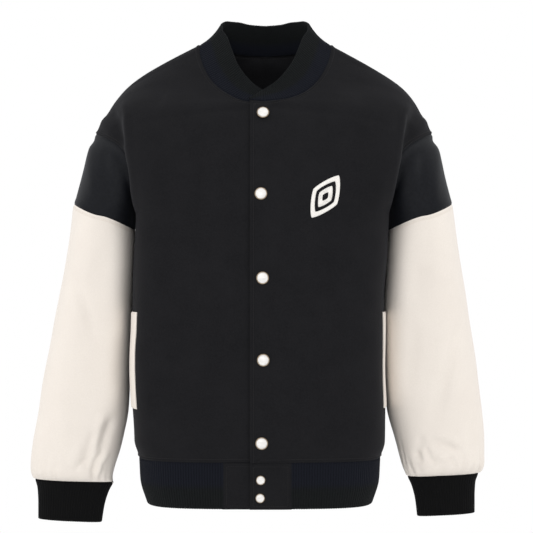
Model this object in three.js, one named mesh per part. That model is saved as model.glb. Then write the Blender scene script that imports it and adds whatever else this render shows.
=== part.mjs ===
// A varsity jacket, filled out as when it is worn, with nobody in it.
// Millimetres, +Z up, the front faces -Y and the wearer's left side is +X.
// Heights in the tables are measured from the front of the hem. The origin is the middle of the neck
// opening at the height of the shoulder seams' inner ends, where the neck and shoulders hold the jacket up.
import * as THREE from "three";

// Driving sizes
const NECK_POINT = 679; // height of the shoulder seams' inner ends above the hem
const CLOTH = 2.5; // the melton and the sleeve cloth, with their seams' turnings
const TAB_CLOTH = 3;
const RIB_CLOTH = 3.6; // doubled rib knit of the hem and the cuffs
const COLLAR_CLOTH = 4; // doubled rib knit of the collar
const RIB_RELIEF = 0.6;
const RIB_PITCH = 3.9;
const SEAM_GAP = 0.3;
const HALF_GAP = SEAM_GAP / 2;
const PLACKET_EDGE = 18; // the fronts run on past the line of snaps by this much
const LAP = 1.8; // the left front stands out by this much where it laps, and the right one lies in by it
const COLLAR_LAP = 2.4;
const LAP_FULL = 30; // the lap has its whole step up to this far from the middle
const LAP_END = 62;
const FIRST_COLUMN = 30;
const PANEL_COLUMNS = 10;
const HEM_SEAM = 68;
const UNDERARM = 428;
const LEFT_TAB = 42; // outer end of the left hem tab from the line of snaps
const RIGHT_TAB = 57;
const SEARCH_STEP = 0.0005; // share of a curve by which a search walks along it
const TINY = 1e-6;

const vec = (x, y, z) => new THREE.Vector3(x, y, z);
const rad = THREE.MathUtils.degToRad;
const lerp = THREE.MathUtils.lerp;
const clamp01 = (t) => THREE.MathUtils.clamp(t, 0, 1);

// A smooth curve through one column of a table whose first column runs one way.
// Between two rows it is a cubic whose end slopes are those of the lines through the rows beside it,
// kept level at a peak, so it never swings past the table's values.
function column(table, name) {
  const key = Object.keys(table[0])[0];
  const rows = [...table].sort((a, b) => a[key] - b[key]);
  const x = rows.map((row) => row[key]);
  const y = rows.map((row) => row[name]);
  const last = x.length - 1;
  const rise = (i) => (y[i + 1] - y[i]) / (x[i + 1] - x[i]);
  const slope = x.map((_, i) => {
    if (i === 0) return rise(0);
    if (i === last) return rise(last - 1);
    const before = rise(i - 1);
    const after = rise(i);
    return before * after <= 0 ? 0 : (2 * before * after) / (before + after);
  });
  return (at) => {
    const v = THREE.MathUtils.clamp(at, x[0], x[last]);
    const i = Math.min(last - 1, Math.max(0, x.findIndex((edge) => edge > v) - 1));
    const k = v >= x[last] ? last - 1 : i;
    const width = x[k + 1] - x[k];
    const t = (v - x[k]) / width;
    const a = y[k] * (1 + 2 * t) * (1 - t) ** 2 + slope[k] * width * t * (1 - t) ** 2;
    return a + y[k + 1] * t * t * (3 - 2 * t) + slope[k + 1] * width * t * t * (t - 1);
  };
}

// The torso below the armholes: its half width, how far the whole section stands to one side of the line
// of snaps, and the depth of its front and back.
const TORSO = [
  { height: 0, half: 168, aside: -4, front: -132, back: 128 },
  { height: 34, half: 178, aside: -4, front: -138, back: 132 },
  { height: 68, half: 180, aside: -4, front: -141, back: 134 },
  { height: 92, half: 187, aside: -4.5, front: -147, back: 140 },
  { height: 137, half: 188, aside: -5.5, front: -150, back: 142 },
  { height: 215, half: 187.5, aside: -8, front: -150, back: 143 },
  { height: 299, half: 188, aside: -6, front: -150, back: 143 },
  { height: 353, half: 188.5, aside: -4, front: -150, back: 143 },
  { height: 402, half: 188, aside: -1.5, front: -148, back: 142 },
  { height: 428, half: 188, aside: 0, front: -147, back: 141 },
  { height: 480, half: 188, aside: 1, front: -139, back: 138 },
  { height: 540, half: 188, aside: 2, front: -120, back: 130 },
  { height: 570, half: 188, aside: 2.5, front: -103, back: 122 },
  { height: 589, half: 188, aside: 3, front: -88, back: 116 },
  { height: 640, half: 188, aside: 3.5, front: -88, back: 92 },
  { height: 673, half: 188, aside: 4, front: -88, back: 75 },
  { height: 725, half: 188, aside: 4, front: -88, back: 75 },
];
const torso = {
  half: column(TORSO, "half"),
  aside: column(TORSO, "aside"),
  front: column(TORSO, "front"),
  back: column(TORSO, "back"),
};
const TORSO_HEIGHTS = [68, 92, 137, 191, 245, 299, 353, 395, 428];

// How full a section's corner is, and how far its corner stands outside the side seam.
const CORNER = [
  { height: 0, fullness: 1.9, front_out: 0, back_out: 0 },
  { height: 300, fullness: 2, front_out: 0, back_out: 0 },
  { height: 353, fullness: 2, front_out: 1, back_out: 1 },
  { height: 402, fullness: 2, front_out: 2, back_out: 2 },
  { height: 428, fullness: 2, front_out: 3, back_out: 3 },
];

// The neck seam, by the angle from the middle of the front: an oval in plan, with its height.
const NECK_HALF = 99;
const NECK_MIDDLE_Y = -6.5;
const NECK_HALF_Y = 81.5;
const NECK = [
  { angle: 0, height: 589 },
  { angle: 18, height: 593 },
  { angle: 36, height: 605 },
  { angle: 53, height: 624.5 },
  { angle: 67, height: 646 },
  { angle: 79, height: 664 },
  { angle: 90, height: 679 },
  { angle: 105, height: 683 },
  { angle: 121, height: 682 },
  { angle: 138, height: 679 },
  { angle: 158, height: 675 },
  { angle: 180, height: 673 },
];
const neckHeight = column(NECK, "height");

// A point of the neck seam. A negative angle is past the middle of the front, on the other side.
function neck(angle) {
  const a = rad(angle);
  const height = neckHeight(Math.abs(angle));
  return vec(NECK_HALF * Math.sin(a), NECK_MIDDLE_Y - NECK_HALF_Y * Math.cos(a), height);
}

// The angle past the middle at which a front's free edge meets the neck seam.
function edgeAngle(side) {
  const across = PLACKET_EDGE + side * torso.aside(NECK[0].height);
  return THREE.MathUtils.radToDeg(Math.asin(across / NECK_HALF));
}

// The collar's top edge, by the same angle.
const COLLAR_TOP = [
  { angle: 0, x: 0, y: -75, z: 608 },
  { angle: 18, x: 12, y: -71, z: 616 },
  { angle: 36, x: 26, y: -63, z: 630 },
  { angle: 53, x: 41, y: -50, z: 652 },
  { angle: 67, x: 50, y: -34, z: 674 },
  { angle: 79, x: 57, y: -17, z: 693 },
  { angle: 90, x: 65, y: 0, z: 706 },
  { angle: 105, x: 66, y: 18, z: 716 },
  { angle: 121, x: 57, y: 33, z: 722 },
  { angle: 138, x: 42, y: 44, z: 722 },
  { angle: 158, x: 23, y: 52, z: 719 },
  { angle: 180, x: 0, y: 55, z: 717.5 },
];
const COLLAR_STEPS = [0, 0.5, 1]; // its rows, from the neck seam to the top edge
const COLLAR_HOLLOW = 5; // the collar dips by this before it turns up
const COLLAR_HOLLOW_IN = 2; // and stands in by this at the shoulders
const COLLAR_HOLLOW_FROM = 60; // degrees from the front where it has its whole hollow
const COLLAR_TIP = 1.5; // its height where an end runs out at the fronts' edge
const COLLAR_TURN = 1; // degrees either way, for the collar's own facing
const COLLAR_RISE = 0.1; // share of its height either way, for the same

// The snaps: their height above the hem and how far each stands from the line of snaps.
const SNAPS = [
  { height: 571.8, across: 0.9, radius: 9 },
  { height: 453, across: -2, radius: 9 },
  { height: 332.8, across: 0.4, radius: 9 },
  { height: 215.6, across: 1.4, radius: 9 },
  { height: 96.9, across: -0.9, radius: 9 },
  { height: 43.3, across: -2.3, radius: 6.7 },
  { height: 17.2, across: -3.1, radius: 6.7 },
];
const SNAP_SEAT = 0.4;
const SNAP_SIDES = 12;

// The pocket welts: the panel's rows and columns that each covers, counted from its bottom and its middle.
const WELTS = {
  right: { rows: [2.1, 3, 4, 4.7], columns: [7, 8, 8.5] },
  left: { rows: [2.1, 3, 4, 4.7], columns: [8, 9, 9.3] },
};
const WELT_CLOTH = 2;

// The armhole seam, by the angle from its top: the dropped shoulder's end at 0 and the underarm at 180.
const ARMHOLE_INNER = 188;
const ARMHOLE_REACH = 64;
const ARMHOLE_DEPTH = 85;
const ARMHOLE_RISE = 119;
const REACH_POWER = 3.6;
const RISE_POWER = 0.75;
function armhole(angle, side) {
  const c = (1 + Math.cos(rad(angle))) / 2;
  return vec(
    ARMHOLE_INNER + ARMHOLE_REACH * c ** REACH_POWER,
    side * ARMHOLE_DEPTH * Math.sin(rad(angle)),
    UNDERARM + ARMHOLE_RISE * c ** RISE_POWER,
  );
}

// Rows of the chest and back above the underarm, by the armhole's angle. A row starts on the middle line at
// a height, or on the neck seam at an angle, and turns at a corner to reach the armhole.
const CHEST = [
  { arm: 180, middle: 428, corner_x: 191, corner_y: -150, corner_z: 428, fullness: 2 },
  { arm: 160, middle: 446, corner_x: 192, corner_y: -148, corner_z: 443, fullness: 2.2 },
  { arm: 140, middle: 466, corner_x: 194, corner_y: -146, corner_z: 459, fullness: 2.3 },
  { arm: 120, middle: 490, corner_x: 197, corner_y: -143, corner_z: 479, fullness: 2.4 },
  { arm: 100, middle: 518, corner_x: 200, corner_y: -138, corner_z: 502, fullness: 2.5 },
  { arm: 80, middle: 551, corner_x: 202, corner_y: -129, corner_z: 531, fullness: 2.5 },
  { arm: 62, neck: 0, corner_x: 202, corner_y: -111, corner_z: 562, fullness: 2.4 },
  { arm: 50, neck: 18, corner_x: 206, corner_y: -90, corner_z: 586, fullness: 2.4 },
  { arm: 38, neck: 36, corner_x: 210, corner_y: -68, corner_z: 601, fullness: 2.5 },
  { arm: 27, neck: 53, corner_x: 212, corner_y: -47, corner_z: 610, fullness: 2.6 },
  { arm: 17, neck: 67, corner_x: 213, corner_y: -29, corner_z: 616, fullness: 2.8 },
  { arm: 8, neck: 79, corner_x: 214, corner_y: -13, corner_z: 619, fullness: 2.9 },
  { arm: 0, neck: 90, corner_x: 214, corner_y: -2, corner_z: 619, fullness: 3 },
];
const SHOULDERS = [
  { arm: 180, middle: 428, corner_x: 191, corner_y: 145, corner_z: 428, fullness: 2 },
  { arm: 160, middle: 452, corner_x: 192, corner_y: 144, corner_z: 446, fullness: 2 },
  { arm: 140, middle: 480, corner_x: 193, corner_y: 142, corner_z: 466, fullness: 2.1 },
  { arm: 120, middle: 511, corner_x: 195, corner_y: 140, corner_z: 489, fullness: 2.2 },
  { arm: 100, middle: 545, corner_x: 198, corner_y: 136, corner_z: 515, fullness: 2.2 },
  { arm: 80, middle: 583, corner_x: 201, corner_y: 128, corner_z: 545, fullness: 2.2 },
  { arm: 62, middle: 627, corner_x: 205, corner_y: 113, corner_z: 574, fullness: 2.2 },
  { arm: 50, neck: 180, corner_x: 208, corner_y: 94, corner_z: 594, fullness: 2.3 },
  { arm: 38, neck: 158, corner_x: 210, corner_y: 71, corner_z: 607, fullness: 2.4 },
  { arm: 27, neck: 138, corner_x: 212, corner_y: 49, corner_z: 614, fullness: 2.6 },
  { arm: 17, neck: 121, corner_x: 213, corner_y: 29, corner_z: 618, fullness: 2.8 },
  { arm: 8, neck: 105, corner_x: 214, corner_y: 12, corner_z: 620, fullness: 2.9 },
  { arm: 0, neck: 90, corner_x: 214, corner_y: -2, corner_z: 619, fullness: 3 },
];
const ARM_ANGLES = CHEST.map((row) => row.arm);

// One row of a panel as a conic arc: it leaves its start and reaches its end on the lines to the corner,
// and the fuller it is, the nearer it comes to the corner.
function conic({ start, corner, end, fullness }) {
  return (t) => {
    const a = (1 - t) ** 2;
    const b = 2 * fullness * t * (1 - t);
    const c = t * t;
    return vec(0, 0, 0)
      .addScaledVector(start, a)
      .addScaledVector(corner, b)
      .addScaledVector(end, c)
      .divideScalar(a + b + c);
  };
}

// The rows of half a front (side -1) or half the back (side 1), from the hem seam to the shoulder seam.
function panelRows(side) {
  const depth = side < 0 ? torso.front : torso.back;
  const out = column(CORNER, side < 0 ? "front_out" : "back_out");
  const fullness = column(CORNER, "fullness");
  const low = TORSO_HEIGHTS.slice(0, -1).map((h) => ({
    start: vec(0, depth(h), h),
    corner: vec(torso.half(h) + out(h), depth(h), h),
    end: vec(torso.half(h), 0, h),
    fullness: fullness(h),
  }));
  const high = (side < 0 ? CHEST : SHOULDERS).map((row) => ({
    start: row.neck === undefined ? vec(0, depth(row.middle), row.middle) : neck(row.neck),
    corner: vec(row.corner_x, row.corner_y, row.corner_z),
    end: armhole(row.arm, side),
    fullness: row.fullness,
    neck: row.neck,
  }));
  return [...low, ...high];
}

// A row's points: its start, a point FIRST_COLUMN along it, and the rest at even steps of the conic.
function rowPoints(row) {
  const at = conic(row);
  let first = 0;
  while (at(first).distanceTo(row.start) < FIRST_COLUMN) first += SEARCH_STEP;
  const points = [row.start.clone()];
  for (let j = 0; j < PANEL_COLUMNS; j++) points.push(at(lerp(first, 1, j / (PANEL_COLUMNS - 1))));
  return points;
}

const mirrored = (p) => vec(-p.x, p.y, p.z);
const setAside = (p) => vec(p.x + torso.aside(p.z), p.y, p.z);

// Sleeves, by height: how far their inner and outer sides stand from the line of snaps, and their depth.
const RIGHT_SLEEVE = [
  { height: -60, inner: 240, outer: 335 },
  { height: 47, inner: 221, outer: 346 },
  { height: 83, inner: 211, outer: 343 },
  { height: 137, inner: 201, outer: 334 },
  { height: 191, inner: 200, outer: 325 },
  { height: 245, inner: 199.5, outer: 315 },
  { height: 299, inner: 197, outer: 304 },
  { height: 353, inner: 194, outer: 294 },
  { height: 402, inner: 191, outer: 287 },
  { height: 442, inner: 190, outer: 281 },
];
const LEFT_SLEEVE = [
  { height: -60, inner: 231, outer: 317 },
  { height: 47, inner: 210, outer: 332 },
  { height: 83, inner: 201, outer: 332 },
  { height: 137, inner: 187, outer: 328 },
  { height: 191, inner: 184.5, outer: 322 },
  { height: 245, inner: 183.5, outer: 314 },
  { height: 299, inner: 185.5, outer: 305 },
  { height: 353, inner: 188, outer: 296 },
  { height: 402, inner: 190, outer: 288 },
  { height: 442, inner: 190, outer: 283 },
];
const SLEEVE_DEPTH = [
  { height: -60, half: 36, middle: -12 },
  { height: 47, half: 41, middle: -11 },
  { height: 83, half: 45, middle: -10 },
  { height: 137, half: 52, middle: -8 },
  { height: 191, half: 58, middle: -6 },
  { height: 245, half: 64, middle: -4 },
  { height: 299, half: 70, middle: -2 },
  { height: 353, half: 76, middle: 0 },
  { height: 442, half: 83, middle: 0 },
];
// Rings of the lower sleeve: the height of each ring's middle, and how far its outer side is above that.
const SLEEVE_RINGS = [
  { height: 423, slant: 19 },
  { height: 392, slant: 17 },
  { height: 353, slant: 14 },
  { height: 308, slant: 11 },
  { height: 262, slant: 8 },
  { height: 215, slant: 6 },
  { height: 168, slant: 4 },
  { height: 122, slant: 2 },
  { height: 85, slant: 0 },
];
const GATHER_RINGS = [34, 19, 10, 4, 0]; // heights above the cuff's seam
const GATHER_RISE = 19; // the sleeve rounds in to the cuff over this height
const GATHER_DEPTH = 1.3; // the gathers' depth just above the cuff
const GATHER_REACH = 45; // height at which they have died out
const UPPER_RINGS = 5;
const UPPER_BULGE = 3; // swell of the upper sleeve, four times this at its outer side

// The cuffs, by height from their seam: their inner and outer sides and half their depth.
const RIGHT_CUFF = [
  { height: -60, inner: 240, outer: 335, half: 18 },
  { height: -35, inner: 236, outer: 335, half: 18.5 },
  { height: -15, inner: 230, outer: 336, half: 20 },
  { height: 0, inner: 222, outer: 340, half: 23 },
];
const LEFT_CUFF = [
  { height: -60, inner: 231, outer: 317, half: 18 },
  { height: -35, inner: 228, outer: 317, half: 18.5 },
  { height: -15, inner: 223, outer: 318, half: 20 },
  { height: 0, inner: 216, outer: 323, half: 23 },
];
const CUFF_MIDDLE_Y = -11.5;

const SLEEVES = {
  right: { side: -1, table: RIGHT_SLEEVE, cuff: RIGHT_CUFF, seam: 30 },
  left: { side: 1, table: LEFT_SLEEVE, cuff: LEFT_CUFF, seam: 39 },
};

// An oval of four like quarters, a little squarer than an ellipse.
const OVAL_POWER = 2 / 2.3;
function oval(angle, halfX, halfY) {
  const c = Math.cos(rad(angle));
  const s = Math.sin(rad(angle));
  return {
    x: halfX * Math.sign(c) * Math.abs(c) ** OVAL_POWER,
    y: halfY * Math.sign(s) * Math.abs(s) ** OVAL_POWER,
  };
}

function sleeve({ side, table, cuff, seam }) {
  const inner = column(table, "inner");
  const outer = column(table, "outer");
  const half = column(SLEEVE_DEPTH, "half");
  const middle = column(SLEEVE_DEPTH, "middle");
  const cuffInner = column(cuff, "inner");
  const cuffOuter = column(cuff, "outer");
  const cuffHalf = column(cuff, "half");
  const tube = (angle, height, slant) => {
    const z = height + slant * Math.cos(rad(angle));
    const o = oval(angle, (outer(z) - inner(z)) / 2, half(z));
    return vec((outer(z) + inner(z)) / 2 + o.x, middle(z) - o.y, z);
  };
  const cuffPoint = (angle, drop) => {
    const o = oval(angle, (cuffOuter(drop) - cuffInner(drop)) / 2, cuffHalf(drop));
    return vec((cuffOuter(drop) + cuffInner(drop)) / 2 + o.x, CUFF_MIDDLE_Y - o.y, seam + drop);
  };
  const gathered = (angle, above, index) => {
    const rounded = Math.sqrt(1 - (1 - clamp01(above / GATHER_RISE)) ** 2);
    const flat = cuffPoint(angle, 0);
    const full = tube(angle, seam + above, 0);
    const p = vec(lerp(flat.x, full.x, rounded), lerp(flat.y, full.y, rounded), seam + above);
    const wave = (index % 2 ? 1 : -1) * GATHER_DEPTH * rounded * (1 - above / GATHER_REACH);
    const out = vec(Math.cos(rad(angle)), -Math.sin(rad(angle)), 0);
    return p.addScaledVector(out, wave);
  };
  return { side, seam, tube, cuffPoint, gathered };
}

// Angles round a sleeve, from its outer side round the front to the underarm and back behind.
const ROUND_ANGLES = [...[...ARM_ANGLES].reverse(), ...ARM_ANGLES.slice(1).map((a) => 360 - a)];
const ringOf = (point) => ROUND_ANGLES.map((angle, index) => point(angle, index));

// The armhole all the way round, set aside with the torso: a sleeve's own X runs outward.
function armholeRound(angle, side) {
  const p = angle <= 180 ? armhole(angle, -1) : armhole(360 - angle, 1);
  return vec(p.x + side * torso.aside(p.z), p.y, p.z);
}

function upperSleeve(s) {
  const first = SLEEVE_RINGS[0];
  const rings = [];
  for (let i = 0; i <= UPPER_RINGS; i++) {
    const t = i / UPPER_RINGS;
    rings.push(
      ringOf((angle) => {
        const top = armholeRound(angle, s.side);
        const low = s.tube(angle, first.height, first.slant);
        const out = vec(Math.cos(rad(angle)), -Math.sin(rad(angle)), 0);
        const swell = UPPER_BULGE * (1 + out.x) ** 2;
        return top.lerp(low, t).addScaledVector(out, swell * t * (1 - t));
      }),
    );
  }
  return rings;
}

function lowerSleeve(s) {
  const rings = SLEEVE_RINGS.map(({ height, slant }) => ringOf((angle) => s.tube(angle, height, slant)));
  for (const above of GATHER_RINGS) rings.push(ringOf((angle, index) => s.gathered(angle, above, index)));
  return rings;
}

// Surfaces. A patch is a grid of points on the outside of the cloth; inside is a point within the garment
// that tells which way out is. seams says which of its edges are sewn, so end HALF_GAP short. pins give
// the way the cloth faces at some of its points. Everywhere else it is shared with the patches beside it.
const STEPS_PER_MM = 50; // two points in the same step are one point
const keyOf = (p) => [p.x, p.y, p.z].map((v) => Math.round(v * STEPS_PER_MM)).join(",");
const facings = new Map();

function facesOf(grid, flip) {
  const faces = [];
  for (let i = 0; i + 1 < grid.length; i++)
    for (let j = 0; j + 1 < grid[i].length; j++) {
      const [a, b, c, d] = [[i, j], [i, j + 1], [i + 1, j + 1], [i + 1, j]];
      const pair = [[a, b, c], [a, c, d]];
      for (const face of pair) faces.push(flip ? [face[0], face[2], face[1]] : face);
    }
  return faces;
}

function faceNormal(grid, [a, b, c]) {
  const [p, q, r] = [a, b, c].map(([i, j]) => grid[i][j]);
  return q.clone().sub(p).cross(r.clone().sub(p));
}

function patch(grid, { inside, seams = {}, pins = [], lap = 0 }) {
  let outward = 0;
  for (const face of facesOf(grid, false)) {
    const p = grid[face[0][0]][face[0][1]];
    outward += faceNormal(grid, face).dot(p.clone().sub(inside(p)));
  }
  const faces = facesOf(grid, outward < 0);
  for (const face of faces) {
    const n = faceNormal(grid, face);
    for (const [i, j] of face) {
      const key = keyOf(grid[i][j]);
      facings.set(key, (facings.get(key) ?? vec(0, 0, 0)).add(n));
    }
  }
  return { grid, faces, seams, pins, lap };
}

// How far a layer of the lap stands out at a distance from the middle of the front.
const lapShare = (x) => 1 - THREE.MathUtils.smoothstep(Math.abs(x), LAP_FULL, LAP_END);

// The patch's outer points after its sewn edges are drawn back, with the way the cloth faces at each.
function finished({ grid, seams, pins, lap }) {
  const rows = grid.length;
  const columns = grid[0].length;
  return grid.map((line, i) =>
    line.map((p, j) => {
      const pin = pins.find(({ row }) => row === i || row === "all");
      const facing = (pin ? pin.facing(p, i, j) : facings.get(keyOf(p)).clone()).normalize();
      const moved = p.clone();
      const pull = (towards) => {
        const step = towards.clone().sub(p);
        moved.addScaledVector(step.normalize(), HALF_GAP);
      };
      if (seams.first && i === 0) pull(grid[1][j]);
      if (seams.last && i === rows - 1) pull(grid[i - 1][j]);
      if (seams.right && j === columns - 1) pull(line[j - 1]);
      const share = lap ? lap * lapShare(p.x - torso.aside(p.z)) : 0;
      return { point: moved.addScaledVector(facing, share), facing };
    }),
  );
}

// A closed wall of cloth: the outside, the same points moved in by the thickness, and a rim round each
// open edge.
function wall(patches, thickness) {
  const outerPoints = [];
  const innerPoints = [];
  const ids = new Map();
  const triangles = [];
  for (const piece of patches) {
    const ready = finished(piece);
    const id = ready.map((line) =>
      line.map(({ point, facing }) => {
        const key = keyOf(point);
        if (!ids.has(key)) {
          ids.set(key, outerPoints.length);
          outerPoints.push(point);
          innerPoints.push(point.clone().addScaledVector(facing, -thickness));
        }
        return ids.get(key);
      }),
    );
    for (const face of piece.faces) {
      const corners = face.map(([i, j]) => id[i][j]);
      if (new Set(corners).size === 3) triangles.push(corners);
    }
  }
  return closedShell(outerPoints, innerPoints, triangles);
}

function closedShell(outerPoints, innerPoints, triangles) {
  const points = [...outerPoints, ...innerPoints];
  const shift = outerPoints.length;
  const edges = new Set();
  for (const [a, b, c] of triangles) for (const edge of [[a, b], [b, c], [c, a]]) edges.add(edge.join());
  const all = [];
  for (const [a, b, c] of triangles) {
    all.push([a, b, c], [a + shift, c + shift, b + shift]);
    for (const [p, q] of [[a, b], [b, c], [c, a]])
      if (!edges.has([q, p].join())) all.push([q, p, p + shift], [q, p + shift, q + shift]);
  }
  return geometryOf(points, all);
}

function geometryOf(points, triangles) {
  const flat = new Float32Array(triangles.length * 9);
  triangles.flat().forEach((id, k) => {
    flat.set([points[id].x, points[id].y, points[id].z - NECK_POINT], k * 3);
  });
  const geometry = new THREE.BufferGeometry();
  geometry.setAttribute("position", new THREE.BufferAttribute(flat, 3));
  geometry.computeVertexNormals();
  return geometry;
}

// Triangles between two lines of points that run the same way with different steps.
// Each line is a list of [share of the way, point id].
function between(first, second) {
  const out = [];
  let i = 0;
  let j = 0;
  while (i + 1 < first.length || j + 1 < second.length) {
    const next = i + 1 < first.length ? first[i + 1][0] : Infinity;
    const other = j + 1 < second.length ? second[j + 1][0] : Infinity;
    if (next <= other) out.push([first[i][1], first[++i][1], second[j][1]]);
    else out.push([first[i][1], second[j + 1][1], second[j++][1]]);
  }
  return out;
}

// A knitted band: ribs raised on the outside over a plain inside. at(share, row) gives a point of its
// outside and the way it faces. shares lists the plain inside's steps.
function ribBand({ at, rows, ribs, shares, thickness, closed }) {
  const points = [];
  const add = (p) => points.push(p) - 1;
  const fine = Array.from({ length: 2 * ribs + 1 }, (_, k) => k / (2 * ribs));
  const outside = [];
  const within = [];
  for (let row = 0; row < rows; row++) {
    const line = fine.map((share, k) => {
      const { point, facing } = at(share, row);
      return [share, add(point.clone().addScaledVector(facing, k % 2 ? RIB_RELIEF : 0))];
    });
    const plain = shares.map((share) => {
      const { point, facing } = at(share, row);
      return [share, add(point.clone().addScaledVector(facing, -thickness))];
    });
    if (closed) {
      line[line.length - 1][1] = line[0][1];
      plain[plain.length - 1][1] = plain[0][1];
    }
    outside.push(line);
    within.push(plain);
  }
  const triangles = [];
  const strip = (a, b) => {
    for (let k = 0; k + 1 < a.length; k++)
      triangles.push([a[k][1], a[k + 1][1], b[k + 1][1]], [a[k][1], b[k + 1][1], b[k][1]]);
  };
  for (let row = 0; row + 1 < rows; row++) {
    strip(outside[row], outside[row + 1]);
    strip(within[row + 1], within[row]);
    if (!closed) {
      const [o, p] = [outside[row], outside[row + 1]];
      const [w, v] = [within[row], within[row + 1]];
      triangles.push([o[0][1], p[0][1], v[0][1]], [o[0][1], v[0][1], w[0][1]]);
      const e = o.length - 1;
      const f = w.length - 1;
      triangles.push([p[e][1], o[e][1], w[f][1]], [p[e][1], w[f][1], v[f][1]]);
    }
  }
  triangles.push(...between(outside[0], within[0]).map(([a, b, c]) => [a, c, b]));
  triangles.push(...between(outside[rows - 1], within[rows - 1]));
  let volume = 0;
  for (const [a, b, c] of triangles) volume += points[a].dot(points[b].clone().cross(points[c]));
  const faces = volume < 0 ? triangles.map(([a, b, c]) => [a, c, b]) : triangles;
  return geometryOf(points, faces);
}

// Materials
const material = (name, color, roughness, metalness = 0) =>
  new THREE.MeshStandardMaterial({ name, color, roughness, metalness });
const MATERIALS = {
  body: material("melton", 0x212123, 0.95),
  upper: material("upper sleeve cloth", 0x1b1c1f, 0.8),
  cream: material("cream sleeve cloth", 0xf2ebe4, 0.7),
  cuff: material("black rib", 0x161616, 0.95),
  rib: material("navy rib", 0x1a1d25, 0.95),
  welt: material("cream welt", 0xf2eae1, 0.7),
  pearl: material("pearl", 0xf6f4f1, 0.25),
  rim: material("snap metal", 0x8a7a66, 0.35, 1),
};
const jacket = new THREE.Group();
function add(name, geometry, look) {
  const mesh = new THREE.Mesh(geometry, look);
  mesh.name = name;
  jacket.add(mesh);
  return mesh;
}

// Body panels
const INSIDE_SHARE = 0.75;
const INSIDE_TOP = 560;
const torsoInside = (p) => vec(p.x * INSIDE_SHARE, 0, Math.min(p.z, INSIDE_TOP));
const levelFacing = (p) => facings.get(keyOf(p)).clone().setZ(0);
const hemPin = { row: 0, facing: levelFacing };

// A front from its free edge to its side seam: the strip past the middle, and the main part.
function frontPatches(side) {
  const turn = side < 0 ? mirrored : (p) => p.clone();
  const rows = panelRows(-1);
  const grid = rows.map((row) => rowPoints(row).map((p) => setAside(turn(p))));
  const toNeck = rows.findIndex((row) => row.neck === 0);
  const corner = neck(edgeAngle(side));
  const strip = rows.slice(0, toNeck + 1).map((row, i) => {
    const edge = vec(-side * PLACKET_EDGE, row.start.y, row.start.z);
    const top = setAside(turn(mirrored(corner)));
    return [i === toNeck ? top : edge, grid[i][0]];
  });
  const lap = side < 0 ? -LAP : LAP;
  return [
    patch(strip, {
      inside: torsoInside,
      seams: { first: true, last: true },
      pins: [hemPin],
      lap,
    }),
    patch(grid, {
      inside: torsoInside,
      seams: { first: true, last: true, right: true },
      pins: [hemPin],
      lap,
    }),
  ];
}

function backPatches() {
  const rows = panelRows(1);
  return [1, -1].map((side) => {
    const turn = side < 0 ? mirrored : (p) => p.clone();
    const grid = rows.map((row) => rowPoints(row).map((p) => setAside(turn(p))));
    return patch(grid, {
      inside: torsoInside,
      seams: { first: true, last: true, right: true },
      pins: [hemPin],
    });
  });
}

const sleevePatches = Object.entries(SLEEVES).map(([name, spec]) => {
  const s = sleeve(spec);
  const place = (grid) => grid.map((line) => line.map((p) => vec(s.side * p.x, p.y, p.z)));
  const axis = (p) => {
    const z = p.z;
    const mid = (column(spec.table, "inner")(z) + column(spec.table, "outer")(z)) / 2;
    return vec(s.side * mid, 0, z);
  };
  const upper = place(upperSleeve(s));
  const lower = place(lowerSleeve(s));
  const last = lower.length - 1;
  return {
    name,
    s,
    upper: patch(upper, { inside: axis, seams: { first: true, last: true } }),
    lower: patch(lower, {
      inside: axis,
      seams: { first: true, last: true },
      pins: [{ row: last, facing: levelFacing }],
    }),
  };
});
const frontLeft = frontPatches(1);
const frontRight = frontPatches(-1);
const back = backPatches();

const frontLeftMesh = add("front_left", wall(frontLeft, CLOTH), MATERIALS.body);
add("front_right", wall(frontRight, CLOTH), MATERIALS.body);
add("back_panel", wall(back, CLOTH), MATERIALS.body);
for (const { name, upper, lower } of sleevePatches) {
  add("sleeve_top_" + name, wall([upper], CLOTH), MATERIALS.upper);
  add("sleeve_" + name, wall([lower], CLOTH), MATERIALS.cream);
}

// A line of points walked by its share of the way, with the level direction out of the garment at each.
const TRACK_STEP = 0.004; // share of the way either side that gives its direction
function track(points, middle) {
  const run = [0];
  for (let k = 1; k < points.length; k++) run.push(run[k - 1] + points[k].distanceTo(points[k - 1]));
  const length = run[run.length - 1];
  const place = (share) => {
    const want = clamp01(share) * length;
    const k = Math.max(1, run.findIndex((r) => r >= want - TINY));
    return points[k - 1].clone().lerp(points[k], (want - run[k - 1]) / (run[k] - run[k - 1]));
  };
  const at = (share, wrap) => {
    const before = wrap ? place((share - TRACK_STEP + 1) % 1) : place(share - TRACK_STEP);
    const after = wrap ? place((share + TRACK_STEP) % 1) : place(share + TRACK_STEP);
    const point = place(share);
    const along = after.sub(before);
    const facing = vec(along.y, -along.x, 0).normalize();
    if (facing.dot(point.clone().sub(middle)) < 0) facing.negate();
    return { point, facing };
  };
  return { at, length };
}

// The torso's outline at one height, from the middle of the front or the back to the side seam.
const OUTLINE_STEPS = 60;
function outline(height, side, from = 0) {
  const depth = side < 0 ? torso.front(height) : torso.back(height);
  const at = conic({
    start: vec(0, depth, height),
    corner: vec(torso.half(height), depth, height),
    end: vec(torso.half(height), 0, height),
    fullness: column(CORNER, "fullness")(height),
  });
  let first = 0;
  while (at(first).x < from) first += SEARCH_STEP;
  return Array.from({ length: OUTLINE_STEPS + 1 }, (_, k) => at(lerp(first, 1, k / OUTLINE_STEPS)));
}

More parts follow.
